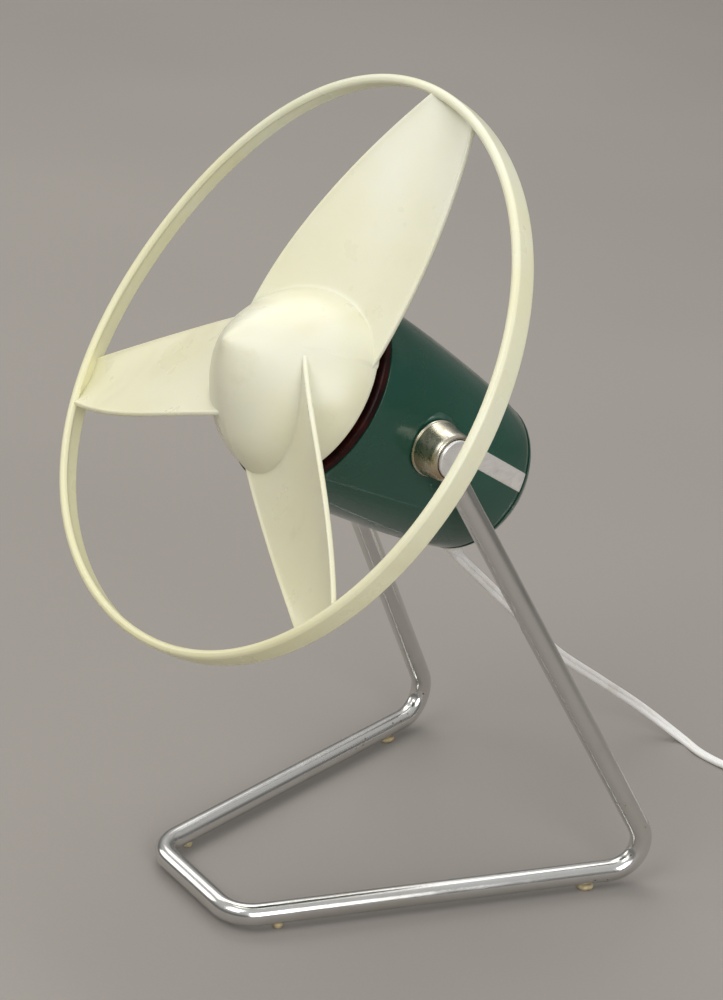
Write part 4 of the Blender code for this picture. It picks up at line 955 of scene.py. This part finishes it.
def hub_radius(a):
    return np.interp(a, HUB_SECTIONS[::-1, 1], HUB_SECTIONS[::-1, 0])


def edge_line(knots, out):
    """The lowest polynomial through an edge's points, read by distance out from the axis."""
    total = 0
    for i, knot in enumerate(knots):
        others = np.delete(knots[:, 1], i)
        weight = np.prod([(out - other) / (knot[1] - other) for other in others], axis=0)
        total = total + weight[..., None] * knot
    return total


def blade_web(out, share):
    """Ruled between the two edges, then hollowed towards the front by a parabola across it."""
    front, rear = edge_line(FRONT_EDGE, out), edge_line(REAR_EDGE, out)
    point = front + (rear - front) * share[..., None]
    camber = 4.5 - 1.5 * np.clip((out - 20) / 105, 0, 1)
    point[..., 2] -= camber * 4 * share * (1 - share)
    return point


HOOP_AHEAD = 2.0
HOOP_UP = 2.0
HOOP_BOW = 1.5
HOOP_BOW_TURN = math.radians(20)


def follow_set(points):
    """The soft hoop has crept ahead and up and bows three times round; the blades' ends follow it."""
    across, up, ahead = points[..., 0], points[..., 1], points[..., 2]
    reach, angle = np.hypot(across, up), np.arctan2(up, across)
    share = np.clip((reach - 50) / 77, 0, 1) ** 2
    bow = HOOP_BOW * np.cos(3 * (angle + HOOP_BOW_TURN))
    grow = 1 + share * (HOOP_UP * np.sin(angle) + bow) / np.maximum(reach, 1)
    return np.stack([across * grow, up * grow, ahead + share * (HOOP_AHEAD + bow)], axis=-1)


def reach_radius(share, target, low, high):
    """Distance out at which the web meets a target radius, by halving."""
    low, high = np.full_like(share, low), np.full_like(share, high)
    for _ in range(40):
        middle = (low + high) / 2
        point = blade_web(middle, share)
        short = np.hypot(point[..., 0], point[..., 1]) < target(point[..., 2])
        low, high = np.where(short, middle, low), np.where(short, high, middle)
    return low


class FAN_OT_hub(bpy.types.Operator):
    """Build the propeller's pointed hub"""

    bl_idname = "deskfan.hub"
    bl_label = "Propeller Hub"

    step = 0.55
    seam = math.radians(27)

    def execute(self, context):
        """Turned cone; its radius climbs a little from each blade's seam to the next, then drops."""
        outer = smooth(HUB_SECTIONS, 0.9)
        rim = [(43.2, 44.7), (42.8, 44.5), (41.7, 44.6), (41.3, 45.0)]
        inner = [(40.4, 49.0), (37.4, 56.8), (35.0, 60.8), (28.8, 68.2)]
        inner += [(20.5, 75.6), (8.5, 80.0), (8.5, 50.0)]
        profile = np.concatenate([outer, rim, inner, [(0, 50.0)]])
        count = 360
        grid = turn(profile, count)
        angle = full_turn(count)
        phase = np.mod(angle - self.seam, math.tau / 3) / (math.tau / 3)
        saw = np.clip(1 - phase, 0, 1) * np.clip(phase / 0.012, 0, 1)
        outside = np.zeros(len(profile))
        outside[: len(outer) + 2] = 1
        fade = np.clip((74.0 - profile[:, 1]) / 8.0, 0, 1) * outside
        swell = 1 + (self.step * fade)[:, None] * saw[None] / np.maximum(profile[:, :1], 1)
        grid[..., :2] *= swell[..., None]
        piece = surface("propeller_hub", fan_space(grid), sharp=34)
        finish_piece(piece, "rotor", "ivory_moulding", "ivory_moulding", "propeller")
        return {"FINISHED"}


class FAN_OT_blades(bpy.types.Operator):
    """Build the propeller's three blades"""

    bl_idname = "deskfan.blades"
    bl_label = "Blades"

    bead = 0.45
    bead_width = 1.3
    fillet = 1.4

    def execute(self, context):
        """Web plus and minus half its thickness along its normal, beaded at its edges and root."""
        share = (1 - np.cos(np.linspace(0, np.pi, 49))) / 2
        root = reach_radius(share, lambda a: hub_radius(a) - 1.2, 5.0, 60.0)
        tip = reach_radius(share, lambda a: np.full_like(a, 128.6), 80.0, 140.0)
        steps = np.linspace(0, 1, 81)[:, None] ** 1.25
        out = root + (tip - root) * steps
        middle = blade_web(out, np.broadcast_to(share, out.shape).copy())
        normal = np.cross(np.gradient(middle, axis=0), np.gradient(middle, axis=1))
        normal /= np.linalg.norm(normal, axis=2)[..., None]
        chord = np.linalg.norm(middle[:, -1] - middle[:, 0], axis=1)[:, None]
        inward = np.minimum(share, 1 - share)[None] * chord
        half = sizes().blade_thickness / MM / 2 + self.bead * np.exp(-((inward / self.bead_width) ** 2))
        half = half * np.sqrt(np.clip(1 - (1 - np.clip(inward / 0.8, 0, 1)) ** 2, 0, 1))
        from_root = np.linalg.norm(middle - middle[:1], axis=2)
        half = half + 0.7 * np.exp(-((from_root / self.fillet) ** 2)) * np.clip(inward / 2.0, 0, 1)
        upper = middle + normal * half[..., None]
        lower = middle - normal * half[..., None]
        loops = np.concatenate([upper, lower[:, ::-1]], axis=1)
        grids = []
        for k in range(3):
            c, s = math.cos(math.tau * k / 3), math.sin(math.tau * k / 3)
            spun = loops @ np.array([[c, s, 0], [-s, c, 0], [0, 0, 1]])
            grids.append(fan_space(follow_set(spun)))
        piece = surface("propeller_blades", grids, sharp=60)
        finish_piece(piece, "rotor", "ivory_moulding", "ivory_moulding")
        return {"FINISHED"}


class FAN_OT_ring(bpy.types.Operator):
    """Build the guard ring round the blades"""

    bl_idname = "deskfan.ring"
    bl_label = "Guard Ring"

    def execute(self, context):
        """A skirt with a rolled front bead, rounded and turned about the fan axis."""
        r = sizes().ring_radius / MM
        profile = [(r - 1.0, 51.4), (r - 0.1, 51.5), (r, 52.2), (r, 60.0), (r - 0.8, 61.2), (r - 2.2, 61.6)]
        profile += [(r - 3.6, 61.1), (r - 4.2, 59.7), (r - 3.6, 58.5), (r - 2.2, 57.9)]
        profile += [(r - 1.9, 57.0), (r - 1.9, 52.0), (r - 1.0, 51.4)]
        grid = follow_set(turn(rounded(profile, 0.45)[:-1], 240))
        piece = surface("guard_hoop", fan_space(grid), closed_rows=True, sharp=50)
        finish_piece(piece, "rotor", "ivory_moulding", "hoop_ivory_shaded")
        return {"FINISHED"}


# ---------------------------------------------------------------- cord


class FAN_OT_strain_relief(bpy.types.Operator):
    """Build the ribbed sleeve where the cord leaves"""

    bl_idname = "deskfan.strain_relief"
    bl_label = "Strain Relief"

    def execute(self, context):
        """A cone whose radius dips at even grooves, turned about the cord's way out."""
        s = np.linspace(-9.0, 18.0, 109)
        radius = np.interp(s, [-9, -6.5, -6.4, 8, 18], [4.4, 4.4, 3.6, 3.6, 3.0])
        groove = 0.35 * (np.sin(np.clip(s - 8.5, 0, 8) * math.tau / 2.0) < -0.2) * ((s > 8.5) & (s < 16.5))
        profile = np.concatenate([[(0, -9.0)], np.stack([radius - groove, s], axis=1), [(0, 18.0)]])
        grid = gland_space(turn(profile, 56))
        finish_piece(surface("cord_sleeve", grid), "head", "white_vinyl", "white_vinyl", "strain_relief")
        return {"FINISHED"}


class FAN_OT_cord(bpy.types.Operator):
    """Build the flat twin cord, its coil, its tie and its plug"""

    bl_idname = "deskfan.cord"
    bl_label = "Mains Cord"

    route = [
        (0.0, 64.4, 126.2), (-3.5, 88.1, 102.5), (-9.4, 121.1, 70.8),
        (-19.2, 160.5, 40.8), (-22.0, 191.6, 17.2), (-7.4, 207.7, 2.4),
        (9.1, 206.9, 1.5), (24.3, 208.8, 1.5), (42.0, 213.9, 2.2),
    ]
    coil_centre = (56.0, 250.4)
    coil_radius = 28.4
    rows = (2.6, 5.5, 8.4, 11.3)
    columns = 2.6
    plug_rear = (33.8, 283.4, 7.7)
    pin_apart = 19.0
    lobe = 1.35
    lobe_apart = 1.15

    def execute(self, context):
        line = self.centre_line()
        t = full_turn(40)
        reach = self.lobe_apart * np.abs(np.cos(t))
        reach = reach + np.sqrt(self.lobe**2 - (self.lobe_apart * np.sin(t)) ** 2)
        section = np.stack([reach * np.cos(t), reach * np.sin(t)], axis=1) * MM
        reach = np.linspace(0, sizes().cord_length, len(line))[:, None]
        laid = eased(np.clip((reach - 0.17) / 0.09, 0, 1))
        over = (1 - laid) * np.array([0.78, -0.50, 0.38]) + laid * np.array([0.0, 0.0, 1.0])
        cord = surface("mains_cord", sweep(line, section, over), sharp=80)
        cord.data.materials.append(finish_named("white_vinyl"))
        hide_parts("power_cord", "cord_coil")
        plug = self.plug()
        pins = self.pins()
        tie = self.tie()
        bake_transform(cord)
        return {"FINISHED"}

    def centre_line(self):
        """Out of the sleeve, down to the floor, round the coil in two columns, and into the plug."""
        out = gland_space([(0, 0, 17.6), (0, 0, 23.0)])
        free = stand_space(self.route[1:])
        first, last = math.radians(-62), math.radians(90 + 360 * 6)
        angle = np.linspace(first, last, 200)
        lap = (angle - first) / math.tau
        part = eased(np.clip((lap % 1) / 0.2, 0, 1))
        side = np.array([1, 1, -1, -1, 1, 1, -1, 1.0]) * self.columns
        rise = np.array(self.rows)[[0, 0, 0, 1, 1, 2, 2, 3]]
        index = lap.astype(int)
        offset = side[index] + (side[index + 1] - side[index]) * part
        height = rise[index] + (rise[index + 1] - rise[index]) * part
        radius = self.coil_radius + offset
        x = self.coil_centre[0] + radius * np.cos(angle)
        y = self.coil_centre[1] + radius * np.sin(angle)
        coil = stand_space(np.stack([x, y, height], axis=1))
        rear = np.array(self.plug_rear)
        tail = stand_space([rear + (9.0, 0.2, 1.0), rear + (3.0, 0, 0.1), rear + (-6.0, 0, 0)])
        return smooth(np.concatenate([out, free, coil, tail]), 0.0022)

    def plug(self):
        """Squared ovals that grow from the cord to the flat body, swept along the plug's axis."""
        along = np.array([0, 4, 8, 10, 12, 15, 18, 21, 24, 28, 31, 33.2, 33.8, 34.0])
        wide = np.array([3.6, 3.9, 4.2, 5.2, 7.0, 9.2, 10.8, 12.2, 12.9, 13.0, 13.0, 12.8, 12.2, 11.0])
        thick = np.array([3.6, 3.9, 4.2, 4.8, 5.6, 6.5, 7.0, 7.3, 7.4, 7.4, 7.4, 7.2, 6.7, 5.6])
        power = np.clip(1.0 - along[:, None] / 40, 0.45, 1)
        u, v = squared(wide[:, None], thick[:, None], power, 64)
        rear = np.array(self.plug_rear)
        x = rear[0] - np.broadcast_to(along[:, None], u.shape)
        grid = stand_space(np.stack([x, rear[1] + u, rear[2] + v], axis=-1))
        plug = surface("mains_plug", grid)
        return finish_piece(plug, "stand", "white_vinyl", "white_vinyl", "plug_body")

    def pins(self):
        """Two round pins with rounded ends, turned about their own axes."""
        rear = np.array(self.plug_rear)
        made = []
        for side, node in ((1, "plug_pin_a"), (-1, "plug_pin_b")):
            rod = turn(rounded([(0, 30.0), (2.0, 30.0), (2.0, 52.9), (0, 52.9)], 1.2), 40)
            across, up, out = np.moveaxis(rod, -1, 0)
            middle = rear[1] + side * self.pin_apart / 2
            place = np.stack([rear[0] - out, middle + across, rear[2] + up], axis=-1)
            pin = surface(f"contact_{node[-1]}", stand_space(place))
            made.append(finish_piece(pin, "stand", "brass", "plain_brass", node))
        return made

    def tie(self):
        """A thin strap: a squared oval loop round the bundle, with a small overlap on top."""
        turned = math.radians(20)
        loops = []
        for grow, width in ((0.0, -3.0), (0.0, 3.0), (0.8, 3.0), (0.8, -3.0)):
            u, v = squared(5.4 + grow, 6.0 + grow, 0.55, 64)
            radius = self.coil_radius + u
            x = self.coil_centre[0] + radius * math.cos(turned) - width * math.sin(turned)
            y = self.coil_centre[1] + radius * math.sin(turned) + width * math.cos(turned)
            loops.append(np.stack([x, y, 7.1 + v], axis=1))
        strap = surface("coil_strap", stand_space(loops), closed_rows=True)
        return finish_piece(strap, "stand", "black_moulding", "black_moulding", "coil_tie")


# ---------------------------------------------------------------- carried-over solids


class FAN_OT_works(bpy.types.Operator):
    """Give the motor, switch and fixings their materials"""

    bl_idname = "deskfan.works"
    bl_label = "Motor and Fixings"

    def execute(self, context):
        dress("zinc_steel", "motor_shaft", "grub_screw", "motor_screw_", "motor_nut_")
        dress("zinc_steel", "cap_screw_", "pivot_bolt_", "spring_washer_")
        dress("sintered_bronze", "front_bearing", "rear_bearing")
        dress("die_cast", "front_bracket", "rear_bracket")
        dress("plain_brass", "hub_sleeve")
        dress("bare_copper", "shading_ring_", "coil_lead_")
        dress("core_laminations", "stator_core", "rotor_cage")
        dress("wound_wire", "coil_winding")
        dress("white_vinyl", "mains_lead")
        dress("bobbin_nylon", "coil_bobbin")
        dress("black_moulding", "terminal_block", "switch_body")
        dress("ivory_moulding", "switch_rocker")
        dress("fibre_board", "thrust_washer_front", "thrust_washer_rear")
        return {"FINISHED"}


# ---------------------------------------------------------------- add-on


OPERATORS = (
    FAN_OT_stage,
    FAN_OT_cord,
    FAN_OT_stand,
    FAN_OT_feet,
    FAN_OT_knobs,
    FAN_OT_housing,
    FAN_OT_rear_cap,
    FAN_OT_front_cover,
    FAN_OT_label,
    FAN_OT_strain_relief,
    FAN_OT_hub,
    FAN_OT_blades,
    FAN_OT_ring,
    FAN_OT_works,
)


class FAN_PT_panel(bpy.types.Panel):
    """Lists the fan's pieces, sizes and colours"""

    bl_idname = "FAN_PT_panel"
    bl_label = "Desk Fan"
    bl_space_type = "VIEW_3D"
    bl_region_type = "UI"
    bl_category = "Desk Fan"

    def draw(self, context):
        for group in (context.scene.fan_sizes, context.scene.fan_colours):
            column = self.layout.column()
            for name in group.__annotations__:
                column.prop(group, name)
        for operator in OPERATORS:
            self.layout.operator(operator.bl_idname)


CLASSES = (FanColours, FanSizes, *OPERATORS, FAN_PT_panel)


def register():
    for made in CLASSES:
        bpy.utils.register_class(made)
    bpy.types.Scene.fan_colours = PointerProperty(type=FanColours)
    bpy.types.Scene.fan_sizes = PointerProperty(type=FanSizes)


def unregister():
    del bpy.types.Scene.fan_sizes
    del bpy.types.Scene.fan_colours
    for made in reversed(CLASSES):
        bpy.utils.unregister_class(made)


def main():
    register()
    for operator in OPERATORS:
        group, name = operator.bl_idname.split(".")
        getattr(getattr(bpy.ops, group), name)()
    bpy.context.view_layer.update()


if __name__ == "__main__":
    main()
